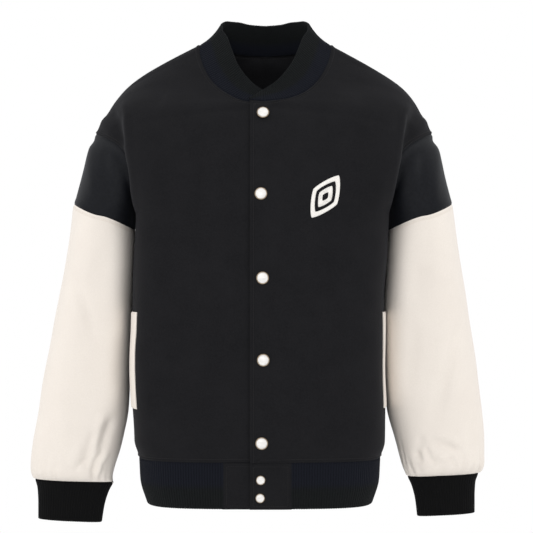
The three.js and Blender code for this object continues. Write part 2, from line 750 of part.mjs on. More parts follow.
// The hem rib, from one tab round the back to the other.
const HEM_HEIGHTS = [HEM_SEAM - HALF_GAP, 34, 0];
const HEM_PLAIN = 40; // steps of its plain inside
const hemTracks = HEM_HEIGHTS.map((h) => {
  const aside = torso.aside(h);
  const leftHalf = [...outline(h, -1, LEFT_TAB + SEAM_GAP - aside), ...outline(h, 1).reverse()];
  const rightHalf = [...outline(h, 1), ...outline(h, -1, RIGHT_TAB + SEAM_GAP + aside).reverse()];
  const points = [...leftHalf, ...rightHalf.map(mirrored)].map(setAside);
  const apart = points.filter((p, k) => k === 0 || p.distanceTo(points[k - 1]) > TINY);
  return track(apart, vec(aside, 0, h));
});
const hemRibs = Math.round(hemTracks[0].length / RIB_PITCH);
add(
  "hem_rib",
  ribBand({
    at: (share, row) => hemTracks[row].at(share, false),
    rows: HEM_HEIGHTS.length,
    ribs: hemRibs,
    shares: Array.from({ length: HEM_PLAIN + 1 }, (_, k) => k / HEM_PLAIN),
    thickness: RIB_CLOTH,
    closed: false,
  }),
  MATERIALS.rib,
);

// The hem's cloth tabs.
const TAB_STEPS = 4;
function hemTab(side) {
  const ends = side > 0 ? [-PLACKET_EDGE, LEFT_TAB] : [PLACKET_EDGE, -RIGHT_TAB];
  const grid = HEM_HEIGHTS.map((h) =>
    Array.from({ length: TAB_STEPS + 1 }, (_, k) => {
      const x = lerp(ends[0], ends[1], k / TAB_STEPS) - torso.aside(h);
      const p = outline(h, -1, Math.abs(x))[0];
      return setAside(x < 0 ? mirrored(p) : p);
    }),
  );
  const inside = () => vec(0, 0, HEM_SEAM / 2);
  return patch(grid, { inside, pins: [{ row: "all", facing: levelFacing }], lap: side * LAP });
}
const tabLeftMesh = add("hem_tab_left", wall([hemTab(1)], TAB_CLOTH), MATERIALS.body);
add("hem_tab_right", wall([hemTab(-1)], TAB_CLOTH), MATERIALS.body);

// The cuffs.
const CUFF_DROPS = [-SEAM_GAP, -15, -35, -60];
const CUFF_PLAIN = 24;
const CUFF_POINTS = 90;
for (const { name, s } of sleevePatches) {
  const tracks = CUFF_DROPS.map((drop) => {
    const points = Array.from({ length: CUFF_POINTS + 1 }, (_, k) => {
      const p = s.cuffPoint((360 * k) / CUFF_POINTS, drop);
      return vec(s.side * p.x, p.y, p.z);
    });
    const middle = points[0].clone().lerp(points[CUFF_POINTS / 2], 0.5);
    return track(points, middle);
  });
  add(
    "cuff_" + name,
    ribBand({
      at: (share, row) => tracks[row].at(share, true),
      rows: CUFF_DROPS.length,
      ribs: Math.round(tracks[1].length / RIB_PITCH),
      shares: Array.from({ length: CUFF_PLAIN + 1 }, (_, k) => k / CUFF_PLAIN),
      thickness: RIB_CLOTH,
      closed: true,
    }),
    MATERIALS.cuff,
  );
}

// The collar, from the right front's end round the back to the left front's end.
const collarTop = { x: column(COLLAR_TOP, "x"), y: column(COLLAR_TOP, "y"), z: column(COLLAR_TOP, "z") };
function collarPoint(side, angle, t) {
  const from = neck(angle);
  const topAt = (a) => vec(collarTop.x(a), collarTop.y(a), collarTop.z(a));
  const end = -edgeAngle(side);
  const tip = neck(end).add(vec(0, 0, COLLAR_TIP));
  const to = angle < 0 ? topAt(0).lerp(tip, angle / end) : topAt(angle);
  const hollow = clamp01(angle / COLLAR_HOLLOW_FROM);
  const dip = vec(-COLLAR_HOLLOW_IN * Math.sin(rad(angle)), 0, -COLLAR_HOLLOW).multiplyScalar(hollow);
  const mid = from.clone().lerp(to, 0.5).add(dip);
  const p = from.multiplyScalar((1 - t) ** 2);
  p.addScaledVector(mid, 2 * t * (1 - t)).addScaledVector(to, t * t);
  return setAside(side < 0 ? mirrored(p) : p);
}
const neckStops = [];
for (const side of [-1, 1]) {
  const angles = [-edgeAngle(side), ...NECK.map((row) => row.angle)];
  const stops = angles.map((angle) => ({ side, angle, point: collarPoint(side, angle, 0) }));
  neckStops.push(...(side < 0 ? stops : stops.reverse().slice(1)));
}
for (const stop of neckStops) stop.facing = facings.get(keyOf(stop.point)).clone().normalize();
const neckRun = [0];
for (let k = 1; k < neckStops.length; k++)
  neckRun.push(neckRun[k - 1] + neckStops[k].point.distanceTo(neckStops[k - 1].point));
const neckLength = neckRun[neckRun.length - 1];
function collarAt(share, row) {
  const want = clamp01(share) * neckLength;
  const k = Math.max(1, neckRun.findIndex((r) => r >= want - TINY));
  const f = clamp01((want - neckRun[k - 1]) / (neckRun[k] - neckRun[k - 1]));
  const [a, b] = [neckStops[k - 1], neckStops[k]];
  const side = k <= NECK.length ? -1 : 1;
  const angle = lerp(a.angle, b.angle, f);
  const t = COLLAR_STEPS[row];
  const here = collarPoint(side, angle, t);
  const before = collarPoint(side, angle - COLLAR_TURN, t);
  const along = collarPoint(side, angle + COLLAR_TURN, t).sub(before);
  const below = collarPoint(side, angle, Math.max(0, t - COLLAR_RISE));
  const rise = collarPoint(side, angle, Math.min(1, t + COLLAR_RISE)).sub(below);
  const own = along.cross(rise).multiplyScalar(side).normalize();
  const base = a.facing.clone().lerp(b.facing, f).normalize();
  const facing = row === 0 ? base : own;
  const point = row === 0 ? a.point.clone().lerp(b.point, f) : here;
  if (row === 0) point.addScaledVector(rise.normalize(), SEAM_GAP);
  const atFront = here.y < NECK_MIDDLE_Y ? 1 : 0;
  const lap = atFront * side * COLLAR_LAP * lapShare(here.x - torso.aside(here.z));
  return { point: point.addScaledVector(facing, lap), facing };
}
const collarStops = neckRun.flatMap((r, k) => (k ? [(r + neckRun[k - 1]) / 2, r] : [r]));
add(
  "collar",
  ribBand({
    at: collarAt,
    rows: COLLAR_STEPS.length,
    ribs: Math.round(neckLength / RIB_PITCH),
    shares: collarStops.map((r) => r / neckLength),
    thickness: COLLAR_CLOTH,
    closed: false,
  }),
  MATERIALS.rib,
);

// The pocket welts, from the panel's own points moved out.
function welt(panel, { rows, columns }) {
  const ready = finished(panel);
  const sample = (i, j, name) => {
    const [i0, j0] = [Math.floor(i), Math.floor(j)];
    const [u, v] = [i - i0, j - j0];
    const pick = (di, dj) => ready[i0 + (u ? di : 0)][j0 + (v ? dj : 0)][name].clone();
    return pick(0, 0).lerp(pick(0, 1), v).lerp(pick(1, 0).lerp(pick(1, 1), v), u);
  };
  const facing = rows.map((i) => columns.map((j) => sample(i, j, "facing").normalize()));
  const out = SEAM_GAP + WELT_CLOTH;
  const grid = rows.map((i, a) =>
    columns.map((j, b) => sample(i, j, "point").addScaledVector(facing[a][b], out)),
  );
  const own = (p, i, j) => facing[i][j].clone();
  return patch(grid, { inside: torsoInside, pins: [{ row: "all", facing: own }] });
}
add("pocket_welt_left", wall([welt(frontLeft[1], WELTS.left)], WELT_CLOTH), MATERIALS.welt);
add("pocket_welt_right", wall([welt(frontRight[1], WELTS.right)], WELT_CLOTH), MATERIALS.welt);

// The snaps, each a pearl cap in a thin metal rim, seated on the left front and its tab.
const PEARL_PROFILE = [[0, 0], [0.86, 0], [0.86, 0.17], [0.56, 0.37], [0, 0.44]];
const RIM_PROFILE = [[0.89, 0], [1, 0], [0.98, 0.16], [0.89, 0.18], [0.89, 0]];
const RAY_START = -400;
const lathed = (profile, r) =>
  new THREE.LatheGeometry(profile.map(([x, y]) => new THREE.Vector2(x * r, y * r)), SNAP_SIDES);
function seat(target, { height, across, radius }) {
  const ray = new THREE.Raycaster();
  const hit = (dx, dz) => {
    ray.set(vec(across + dx, RAY_START, height - NECK_POINT + dz), vec(0, 1, 0));
    return ray.intersectObject(target)[0].point;
  };
  const [l, r, d, u, c] = [hit(-radius, 0), hit(radius, 0), hit(0, -radius), hit(0, radius), hit(0, 0)];
  const normal = r.clone().sub(l).cross(u.clone().sub(d)).normalize();
  const proud = Math.max(...[l, r, d, u].map((p) => p.sub(c).dot(normal)), 0);
  return { point: c.addScaledVector(normal, proud + SNAP_SEAT), normal };
}
const onFront = SNAPS.filter((snap) => snap.height > HEM_SEAM).length;
SNAPS.forEach((snap, k) => {
  const { point, normal } = seat(k < onFront ? frontLeftMesh : tabLeftMesh, snap);
  const label = k < onFront ? "snap_" + (k + 1) : "hem_snap_" + (k + 1 - onFront);
  for (const [name, profile, look] of [
    [label, PEARL_PROFILE, MATERIALS.pearl],
    [label + "_rim", RIM_PROFILE, MATERIALS.rim],
  ]) {
    const mesh = add(name, lathed(profile, snap.radius), look);
    mesh.position.copy(point);
    mesh.quaternion.setFromUnitVectors(vec(0, 1, 0), normal);
  }
});

export default jacket;
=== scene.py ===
# %% [markdown]
# # Dressing a varsity jacket
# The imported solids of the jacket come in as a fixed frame. Each cloth solid is plain and coarse, so every
# one of them is replaced here by a fine thin shell that follows the same form and adds what the cloth does:
# soft creases, rolled seams, knitted ribs, gathers and stitching. The whole object is built upright and
# filled out, as a body would hold it, and it is empty inside.

import functools

import bpy
import numpy as np
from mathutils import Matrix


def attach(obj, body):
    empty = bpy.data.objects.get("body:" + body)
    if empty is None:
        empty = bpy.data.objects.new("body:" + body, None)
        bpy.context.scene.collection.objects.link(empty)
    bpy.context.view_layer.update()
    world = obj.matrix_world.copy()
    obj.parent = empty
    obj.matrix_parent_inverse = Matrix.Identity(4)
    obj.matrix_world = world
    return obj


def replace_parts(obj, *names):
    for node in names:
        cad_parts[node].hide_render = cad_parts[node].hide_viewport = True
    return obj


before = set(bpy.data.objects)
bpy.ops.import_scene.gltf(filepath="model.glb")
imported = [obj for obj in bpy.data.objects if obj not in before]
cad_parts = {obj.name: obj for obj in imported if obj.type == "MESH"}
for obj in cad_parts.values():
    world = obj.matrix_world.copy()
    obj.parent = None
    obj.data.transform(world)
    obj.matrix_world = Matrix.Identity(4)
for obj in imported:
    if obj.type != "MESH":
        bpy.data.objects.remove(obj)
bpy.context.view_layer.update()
print("nodes in the frame:", len(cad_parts))

# %% [markdown]
# ## One set of measurements
# A tailor works from a table of measurements. So does this lesson: the tables give the jacket's widths and
# depths at a few heights, in millimetres above the front of the hem, and a smooth curve runs through each
# column. A spline from another tool could do the same, but a cubic whose slopes come from its neighbours
# never swings past the table's values, so no bulge appears that nobody measured.


# %% Tables and curves
def table(names, rows):
    """Names the columns of a list of rows."""
    return dict(zip(names.split(), np.array(rows, dtype=float).T))


def curve(columns, name):
    """A smooth curve through one column, read at values of the first column.
    Between two rows it is a cubic. The slope at a row is the harmonic mean of the slopes of the lines on
    either side of it, and level at a peak, so the curve stays between the rows' values."""
    x = columns[next(iter(columns))]
    order = np.argsort(x)
    x, y = x[order], columns[name][order]
    rise = np.diff(y) / np.diff(x)
    before, after = rise[:-1], rise[1:]
    total = np.where(before + after == 0, 1, before + after)
    inner = np.where(before * after > 0, 2 * before * after / total, 0)
    slope = np.concatenate([rise[:1], inner, rise[-1:]])

    def read(at):
        v = np.clip(at, x[0], x[-1])
        k = np.clip(np.searchsorted(x, v, side="right") - 1, 0, len(x) - 2)
        width = x[k + 1] - x[k]
        t = (v - x[k]) / width
        start = y[k] * (1 + 2 * t) * (1 - t) ** 2 + slope[k] * width * t * (1 - t) ** 2
        return start + y[k + 1] * t * t * (3 - 2 * t) + slope[k + 1] * width * t * t * (t - 1)

    return read


TORSO = table("height half aside front back", [
    (0, 168, -4, -132, 128), (34, 178, -4, -138, 132), (68, 180, -4, -141, 134), (92, 187, -4.5, -147, 140),
    (137, 188, -5.5, -150, 142), (215, 187.5, -8, -150, 143), (299, 188, -6, -150, 143),
    (353, 188.5, -4, -150, 143), (402, 188, -1.5, -148, 142), (428, 188, 0, -147, 141),
    (480, 188, 1, -139, 138), (540, 188, 2, -120, 130), (570, 188, 2.5, -103, 122), (589, 188, 3, -88, 116),
    (640, 188, 3.5, -88, 92), (673, 188, 4, -88, 75), (725, 188, 4, -88, 75),
])
half, aside = curve(TORSO, "half"), curve(TORSO, "aside")
depth_of = {-1: curve(TORSO, "front"), 1: curve(TORSO, "back")}
NECK_POINT = 679  # height of the shoulder seams' inner ends, where the frame has its origin
SEAM_GAP = 0.3  # between neighbouring pieces
print("half the chest at the underarm:", float(half(428)), "mm")

# %% [markdown]
# ## The neck and the armhole
# Both are closed curves in space, and everything that meets at them must find the same points. The neck seam
# is an oval in plan that climbs from the throat to the shoulders and dips again behind. The armhole of a
# dropped shoulder reaches far out at its top and comes back to the side seam under the arm. Writing each one
# as a function of one angle lets the panels, the sleeves and the collar all ask the same function.

# %% Neck and armhole curves
NECK = table("angle height", [
    (0, 589), (18, 593), (36, 605), (53, 624.5), (67, 646), (79, 664), (90, 679), (105, 683), (121, 682),
    (138, 679), (158, 675), (180, 673),
])
neck_height = curve(NECK, "height")
PLACKET_EDGE = 18  # the fronts run on past the line of snaps by this much
NECK_HALF, NECK_DEEP, NECK_MIDDLE = 99, 81.5, -6.5  # half its width and depth, and its middle's depth
HALF_CHEST, UNDERARM = 188, 428
ARM_REACH, ARM_DEEP, ARM_RISE = 64, 85, 119  # how far the armhole goes out, back and forth, and up


def neck(angle):
    """The neck seam, by the angle from the throat: sideways its half width times the sine of the angle, and
    in depth its half depth times the cosine, before its middle."""
    a = np.radians(angle)
    y = NECK_MIDDLE - NECK_DEEP * np.cos(a)
    return np.stack([NECK_HALF * np.sin(a), y, neck_height(np.abs(angle))], -1)


def armhole(angle, side):
    """The armhole, with c falling from 1 at the top to 0 at the underarm as half of one plus the cosine.
    It reaches out by c to the power 3.6 and rises by c to the power 0.75."""
    a = np.radians(angle)
    c = (1 + np.cos(a)) / 2
    x, z = HALF_CHEST + ARM_REACH * c**3.6, UNDERARM + ARM_RISE * c**0.75
    return np.stack([x, side * ARM_DEEP * np.sin(a), z], -1)


def edge_angle(side):
    """The angle past the throat at which a front's free edge meets the neck seam."""
    return float(np.degrees(np.arcsin((PLACKET_EDGE + side * aside(589)) / NECK_HALF)))


print("armhole from top to underarm:", armhole(np.array([0.0, 180.0]), -1).round(1).tolist())

# %% [markdown]
# ## From rows to a panel
# A front or a back is cut flat but worn round. Each level row of it is drawn as a conic arc, which leaves the
# middle line straight across, turns round the wearer's side and ends on the side seam or the armhole. Three
# points and one fullness make an arc, so a whole panel is a small table. Lofting rows of Bezier curves in the
# viewport would give the same surface, but a table keeps left and right, and this shell and its solid, alike.

# %% Rows of the panels
LOW_HEIGHTS = np.array([68, 92, 137, 191, 245, 299, 353, 395, 428], dtype=float)
ARM_ANGLES = np.array([180, 160, 140, 120, 100, 80, 62, 50, 38, 27, 17, 8, 0], dtype=float)
CORNER = table("height fullness out", [
    (0, 1.9, 0), (300, 2, 0), (353, 2, 1), (402, 2, 2), (428, 2, 3),
])
CHEST = [  # corner across, corner in depth, corner height, fullness, for each arm angle
    (191, -150, 428, 2), (192, -148, 443, 2.2), (194, -146, 459, 2.3), (197, -143, 479, 2.4),
    (200, -138, 502, 2.5), (202, -129, 531, 2.5), (202, -111, 562, 2.4), (206, -90, 586, 2.4),
    (210, -68, 601, 2.5), (212, -47, 610, 2.6), (213, -29, 616, 2.8), (214, -13, 619, 2.9),
    (214, -2, 619, 3),
]
SHOULDERS = [
    (191, 145, 428, 2), (192, 144, 446, 2), (193, 142, 466, 2.1), (195, 140, 489, 2.2), (198, 136, 515, 2.2),
    (201, 128, 545, 2.2), (205, 113, 574, 2.2), (208, 94, 594, 2.3), (210, 71, 607, 2.4), (212, 49, 614, 2.6),
    (213, 29, 618, 2.8), (214, 12, 620, 2.9), (214, -2, 619, 3),
]
MIDDLES = {-1: [428, 446, 466, 490, 518, 551, 589], 1: [428, 452, 480, 511, 545, 583, 627, 673]}
NECK_ANGLES = {-1: [0, 18, 36, 53, 67, 79, 90], 1: [180, 158, 138, 121, 105, 90]}
FIRST_ARM_ROW = len(LOW_HEIGHTS) - 1


def read_rows(values, first, at):
    """Reads a list of values, one for each row from the row called first, at rows in between."""
    rows = first + np.arange(len(values), dtype=float)
    return curve({"row": rows, "value": np.array(values, dtype=float)}, "value")(at)


def clustered(count, tight):
    """Numbers from 0 to 1 in even steps, with a few more close to both ends, tight apart, for the seams."""
    near = tight * np.array([0, 0.2, 0.45, 0.75, 1, 1.4])
    return np.concatenate([near, np.linspace(1.9 * tight, 1 - 1.9 * tight, count), 1 - near[::-1]])


def row_numbers():
    """The fine rows of a panel, closer together at the hem and shoulder seams, with one at each neck row."""
    low = np.concatenate([[0, 0.03, 0.07, 0.12, 0.18], np.linspace(0.25, FIRST_ARM_ROW, 84)[:-1]])
    high = np.concatenate([np.linspace(8, 14, 49), np.linspace(14, 15, 9), np.linspace(15, 19.9, 40)])
    return np.unique(np.concatenate([low, high, [19.94, 19.97, 20]]))


ROWS = row_numbers()
print("a panel has", len(ROWS), "fine rows")


# %% Panels as grids of points
def panel(side, r, t):
    """Half a front (side -1) or half the back (side 1) for the fine rows r and the shares t of each row.
    A row's point is the mean of its start, corner and end, weighted by (1-t) squared, twice the fullness
    times t(1-t), and t squared."""
    h = np.interp(r, np.arange(len(LOW_HEIGHTS)), LOW_HEIGHTS)
    arm = np.interp(r, FIRST_ARM_ROW + np.arange(len(ARM_ANGLES)), ARM_ANGLES)
    low = np.stack([half(LOW_HEIGHTS[:-1]) + curve(CORNER, "out")(LOW_HEIGHTS[:-1]),
                    depth_of[side](LOW_HEIGHTS[:-1]), LOW_HEIGHTS[:-1],
                    curve(CORNER, "fullness")(LOW_HEIGHTS[:-1])], -1)
    rows = np.concatenate([low, CHEST if side < 0 else SHOULDERS])
    corner = np.stack([read_rows(rows[:, k], 0, r) for k in range(3)], -1)[:, None]
    full = read_rows(rows[:, 3], 0, r)[:, None, None]
    end = np.where((r < FIRST_ARM_ROW)[:, None], np.stack([half(h), 0 * h, h], -1), armhole(arm, side))
    neck_row = FIRST_ARM_ROW + len(MIDDLES[side]) - 1
    middle = np.where(r < FIRST_ARM_ROW, h, read_rows(MIDDLES[side], FIRST_ARM_ROW, r))
    start = np.stack([0 * h, depth_of[side](middle), middle], -1)
    start = np.where((r > neck_row)[:, None], neck(read_rows(NECK_ANGLES[side], neck_row, r)), start)
    t = t[None, :, None]
    a, b, c = (1 - t) ** 2, 2 * full * t * (1 - t), t * t
    return (a * start[:, None] + b * corner + c * end[:, None]) / (a + b + c)


def turned(points, side):
    """Puts a half that was worked out on the wearer's left on either side, and shifts it as the torso is."""
    out = points * np.array([side, 1, 1])
    out[..., 0] += aside(out[..., 2])
    return out


def eased(u):
    """Spreads a row's points. The conic runs fast near its ends, so u less a share of a sine slows it."""
    return u - 0.6 / (2 * np.pi) * np.sin(2 * np.pi * u)


COLUMNS = eased(clustered(104, 0.02))
print("a half panel has", len(ROWS), "by", len(COLUMNS), "points")

# %% [markdown]
# ## Cloth as a thin shell
# A panel of cloth is one net of points with a second net behind it, one cloth thickness away, and a narrow
# rim round the edge. A Solidify modifier does the same from the outside, but working it out here keeps the
# two sides and the rim in the mesh's own points, where the export and the frame both find them. Seams are
# rolled: beside each one the face of the cloth bends down into the seam, so pieces meet in a soft groove.


# %% Nets and facings
def unit(v):
    """Each vector divided by its length."""
    return v / np.maximum(np.linalg.norm(v, axis=-1, keepdims=True), 1e-12)


def net_of(grids, inside):
    """Joins grids of points where they meet and turns the faces of each away from the inside.
    Points in the same fiftieth of a millimetre are one point."""
    points = np.concatenate([g.reshape(-1, 3) for g in grids])
    _, first, number = np.unique(np.round(points * 50).astype(int), axis=0, return_index=True,
                                 return_inverse=True)
    number, quads, start = number.ravel(), [], 0
    for g in grids:
        n = number[start:start + g.shape[0] * g.shape[1]].reshape(g.shape[:2])
        faces = np.stack([n[:-1, :-1], n[:-1, 1:], n[1:, 1:], n[1:, :-1]], -1).reshape(-1, 4)
        corners = points[first][faces]
        across = np.cross(corners[:, 2] - corners[:, 0], corners[:, 3] - corners[:, 1])
        outward = corners.mean(1) - inside(corners.mean(1))
        quads.append(faces if (across * outward).sum() > 0 else faces[:, ::-1])
        start += n.size
    return points[first], np.concatenate(quads)


def facings(points, quads):
    """The way the cloth faces at each point: the cross products of the diagonals of its faces, added up."""
    across = np.cross(points[quads[:, 2]] - points[quads[:, 0]], points[quads[:, 3]] - points[quads[:, 1]])
    corners = quads.ravel()
    total = [np.bincount(corners, np.repeat(across[:, k], 4), len(points)) for k in range(3)]
    return unit(np.stack(total, -1))


def free_edges(quads, count):
    """The sides of faces that no other face shares, each as a pair of points in its face's own order."""
    sides = np.stack([quads, np.roll(quads, -1, axis=1)], -1).reshape(-1, 2)
    code, back = sides[:, 0] * count + sides[:, 1], sides[:, 1] * count + sides[:, 0]
    return sides[~np.isin(back, code)]


print("a square's free sides:", len(free_edges(np.array([[0, 1, 2, 3]]), 4)))


# %% Seams between nets
def measure_to(points, lines):
    """How far each point is from the nearest of some lines, and how far along that line, in millimetres.
    A point's foot on a straight step is where its offset has no part along the step, kept within its ends."""
    near, run = np.full(len(points), 1e9), np.zeros(len(points))
    for line in lines:
        start, step = line[:-1], np.diff(line, axis=0)
        length = np.linalg.norm(step, axis=1)
        before = np.concatenate([[0], np.cumsum(length)[:-1]])
        for part in np.array_split(np.arange(len(points)), 1 + len(points) * len(start) // 2_000_000):
            offset = points[part][:, None] - start
            share = np.clip((offset * step).sum(-1) / np.maximum(length**2, 1e-9), 0, 1)
            gap = np.linalg.norm(offset - share[..., None] * step, axis=-1)
            k = gap.argmin(1)
            least = gap[np.arange(len(part)), k]
            better = least < near[part]
            run[part[better]] = (before[k] + share[np.arange(len(part)), k] * length[k])[better]
            near[part[better]] = least[better]
    return near, run


def shared_facings(net, others):
    """The way a net's cloth faces, agreed with its neighbours at the seams.
    Where another net's edge comes within 1.5 mm of this one's edge, both take the sum of their facings, and
    the change fades out over the next few millimetres, so both sides of a seam sink and thicken alike."""
    points, quads, facing = net
    rim = np.unique(free_edges(quads, len(points)))
    agreed = facing[rim].copy()
    for other_points, other_quads, other_facing in others:
        edge = np.unique(free_edges(other_quads, len(other_points)))
        gap = np.linalg.norm(points[rim][:, None] - other_points[edge][None], axis=-1)
        agreed += other_facing[edge[gap.argmin(1)]] * (gap.min(1) < 1.5)[:, None]
    agreed = unit(agreed)
    out = facing.copy()
    for part in np.array_split(np.arange(len(points)), 1 + len(points) * len(rim) // 4_000_000):
        gap = np.linalg.norm(points[part][:, None] - points[rim][None], axis=-1)
        share = np.exp(-((gap.min(1) / 4) ** 2))[:, None]
        out[part] = unit(facing[part] * (1 - share) + agreed[gap.argmin(1)] * share)
    return out


square = np.array([[0.0, 0, 0], [8, 0, 0]])
print("from a line's middle to its side, and along it:", measure_to(np.array([[4.0, 3, 0]]), [square]))


# %% Pieces and shells
def placed(points):
    """Millimetres above the hem to metres in the frame."""
    return (points - np.array([0, 0, NECK_POINT])) / 1000


def mesh_piece(name, points, faces, look, values=None):
    """Makes a mesh object at the origin from points in millimetres, with named values kept on its points."""
    mesh = bpy.data.meshes.new(name)
    mesh.from_pydata(placed(points).tolist(), [], [list(f) for f in faces])
    mesh.shade_smooth()
    mesh.set_sharp_from_angle(angle=np.radians(55))
    for key, value in (values or {}).items():
        mesh.attributes.new(key, "FLOAT", "POINT").data.foreach_set("value", value.astype(np.float32))
    mesh.materials.append(look)
    piece = bpy.data.objects.new(name, mesh)
    bpy.context.scene.collection.objects.link(piece)
    return piece


def cloth_shell(name, points, quads, facing, thickness, look, near, run):
    """The outer net, the same net moved in by the thickness, and a rim of faces between their free edges.
    Each point keeps how far it is from the stitched seams, and how far along them it is."""
    count = len(points)
    rim = free_edges(quads, count)
    sides = np.stack([rim[:, 1], rim[:, 0], rim[:, 0] + count, rim[:, 1] + count], -1)
    faces = np.concatenate([quads, quads[:, ::-1] + count, sides])
    both = np.concatenate([points, points - facing * thickness])
    values = {"from_seam": np.tile(near, 2), "along_seam": np.tile(run, 2)}
    return mesh_piece(name, both, faces, look, values)


print("the top of the neck lies at", placed(np.array([0, 0, NECK_POINT])).tolist())

# %% [markdown]
# ## Creases placed one by one
# A jacket that stands filled out has few folds, and each has a cause: the armhole pulls, the elbow bends, the
# cuff holds the cloth back. A cloth simulation would find its own, elsewhere. So each crease is a line from
# one place to another with a width and a height, and the cloth rises or sinks along it like a soft bell.


# %% Creases
def creases(points, rows, side=-1):
    """The sum of soft bells along bent lines seen from the front (side -1) or the back (side 1).
    A row is a width, a height, and the line's points across and up. Each bell is the height times the bell
    of the distance over the width, faded out towards both ends of the line."""
    total = np.zeros(len(points))
    for width, height, *line in rows:
        line = np.array(line, dtype=float).reshape(-1, 2)
        gap, run = measure_to(points[:, [0, 2]], [line])
        u = run / np.linalg.norm(np.diff(line, axis=0), axis=1).sum()
        total += height * np.exp(-((gap / width) ** 2)) * np.clip(1.12 - np.abs(2 * u - 1) ** 4, 0, 1)
    return total * np.clip(0.5 + side * points[:, 1] / 16, 0, 1)


def uneven(points, size, amount, seed):
    """A slow wandering of the cloth: a few sines of different directions and lengths near size, added up."""
    rng = np.random.default_rng(seed)
    total = np.zeros(len(points))
    for _ in range(7):
        way = rng.normal(size=3)
        turns = points @ (way / np.linalg.norm(way)) / (size * rng.uniform(0.7, 1.6))
        total += np.sin(2 * np.pi * turns + rng.uniform(0, 6.3))
    return amount * total / 7**0.5


def rolled(near, drop=1.0, reach=1.8):
    """The cloth's face sinks beside a seam, by the drop times the bell of the distance over the reach."""
    return -drop * np.exp(-((near / reach) ** 2))


print("helpers ready")

# %% [markdown]
# ## Finishes
# Every finish is worked out from nodes, because a picture of cloth would repeat and would have to be fetched.
# Wool felt is nearly black, rough, and has a faint bloom where it turns away, which is what the sheen of the
# shader is for. Noise at two sizes gives the felt its clumps and its slow unevenness. The stitching is drawn
# from two numbers that each point of a panel carries: how far it is from its seam, and how far along.


# %% Node helpers
def finish_of(name, color, roughness, **sockets):
    """A material whose shader has these plain values."""
    look = bpy.data.materials.new(name)
    look.use_nodes = True
    shader = look.node_tree.nodes["Principled BSDF"]
    shader.inputs["Base Color"].default_value = (*color, 1)
    shader.inputs["Roughness"].default_value = roughness
    for key, value in sockets.items():
        shader.inputs[key.replace("_", " ")].default_value = value
    return look


def add(look, kind, inputs=(), out=0, **settings):
    """Adds a node with its settings, links or sets its inputs, and gives back one of its outputs."""
    node = look.node_tree.nodes.new(kind)
    for key, value in settings.items():
        setattr(node, key, value)
    for key, value in dict(inputs).items():
        if isinstance(value, bpy.types.NodeSocket):
            look.node_tree.links.new(value, node.inputs[key])
        else:
            node.inputs[key].default_value = value
    return node.outputs[out]


def math(look, operation, a, b=0.0, c=0.0):
    """One sum of the node tree."""
    return add(look, "ShaderNodeMath", {0: a, 1: b, 2: c}, operation=operation)


def ramp(look, value, low, high):
    """A value stretched so that low becomes 0 and high becomes 1."""
    return add(look, "ShaderNodeMapRange", {0: value, 1: low, 2: high, 3: 0.0, 4: 1.0})


def noise(look, scale, detail=3, roughness=0.6, low=0.3, high=0.7, stretch=(1, 1, 1)):
    """Noise on the object's own coordinates, stretched to go from 0 at low to 1 at high.
    Its clumps are about one metre over the scale."""
    where = add(look, "ShaderNodeTexCoord", out="Object")
    where = add(look, "ShaderNodeMapping", {"Vector": where, "Scale": stretch})
    spots = add(look, "ShaderNodeTexNoise",
                {"Vector": where, "Scale": scale, "Detail": detail, "Roughness": roughness})
    return ramp(look, spots, low, high)


def blend(look, share, low, high):
    """A colour between two colours, or between a colour and a socket, by a share."""
    inputs = {0: share, 6: low, 7: high}
    for key in (6, 7):
        if isinstance(inputs[key], tuple):
            inputs[key] = (*inputs[key], 1)
    return add(look, "ShaderNodeMix", inputs, out=2, data_type="RGBA")


def tinted(look, color, share, most, tint):
    """The colour moved towards a tint by a share, times the most that it may move."""
    return blend(look, math(look, "MULTIPLY", share, most), color, tint)


print("noise and blends ready")


# %% Numbers on the mesh and stitches
def carried(look, name):
    """A number that the mesh carries on its points."""
    return add(look, "ShaderNodeAttribute", out="Fac", attribute_name=name)


def dress(look, color, height):
    """Joins a colour to the shader and a height in millimetres to its bump."""
    shader = look.node_tree.nodes["Principled BSDF"]
    look.node_tree.links.new(color, shader.inputs["Base Color"])
    bump = add(look, "ShaderNodeBump", {"Height": height, "Distance": 0.001, "Strength": 0.7})
    look.node_tree.links.new(bump, shader.inputs["Normal"])


def stitching(look, at, pitch=3.4, thread=0.45):
    """Two masks of a line of stitches at a distance from the seam: the thread, and the furrow round it.
    The furrow's mask sinks the bump and is also painted shade, darkening the colour in the groove.
    The thread is where the distance is within its half width and the run along the seam, taken over the
    pitch, is not yet at the gap between two stitches."""
    off = math(look, "ABSOLUTE", math(look, "SUBTRACT", carried(look, "from_seam"), at))
    line = ramp(look, off, thread * 1.3, thread * 0.6)
    step = math(look, "FRACT", math(look, "DIVIDE", carried(look, "along_seam"), pitch))
    dash = ramp(look, math(look, "PINGPONG", step, 0.5), 0.1, 0.2)
    furrow_and_shade = ramp(look, off, 2.2, 0.0)
    return math(look, "MULTIPLY", line, dash), furrow_and_shade


print("a height of 1 in a bump is one millimetre")

# %% [markdown]
# ## Wool melton
# Melton is a heavy wool that is milled until its weave vanishes under felted fibres. At arm's length it reads
# as a soft black with clumps of a millimetre or two. A fibre texture could be scattered as hair, but at this
# size two noises and a sheen give the same look for a thousandth of the cost.

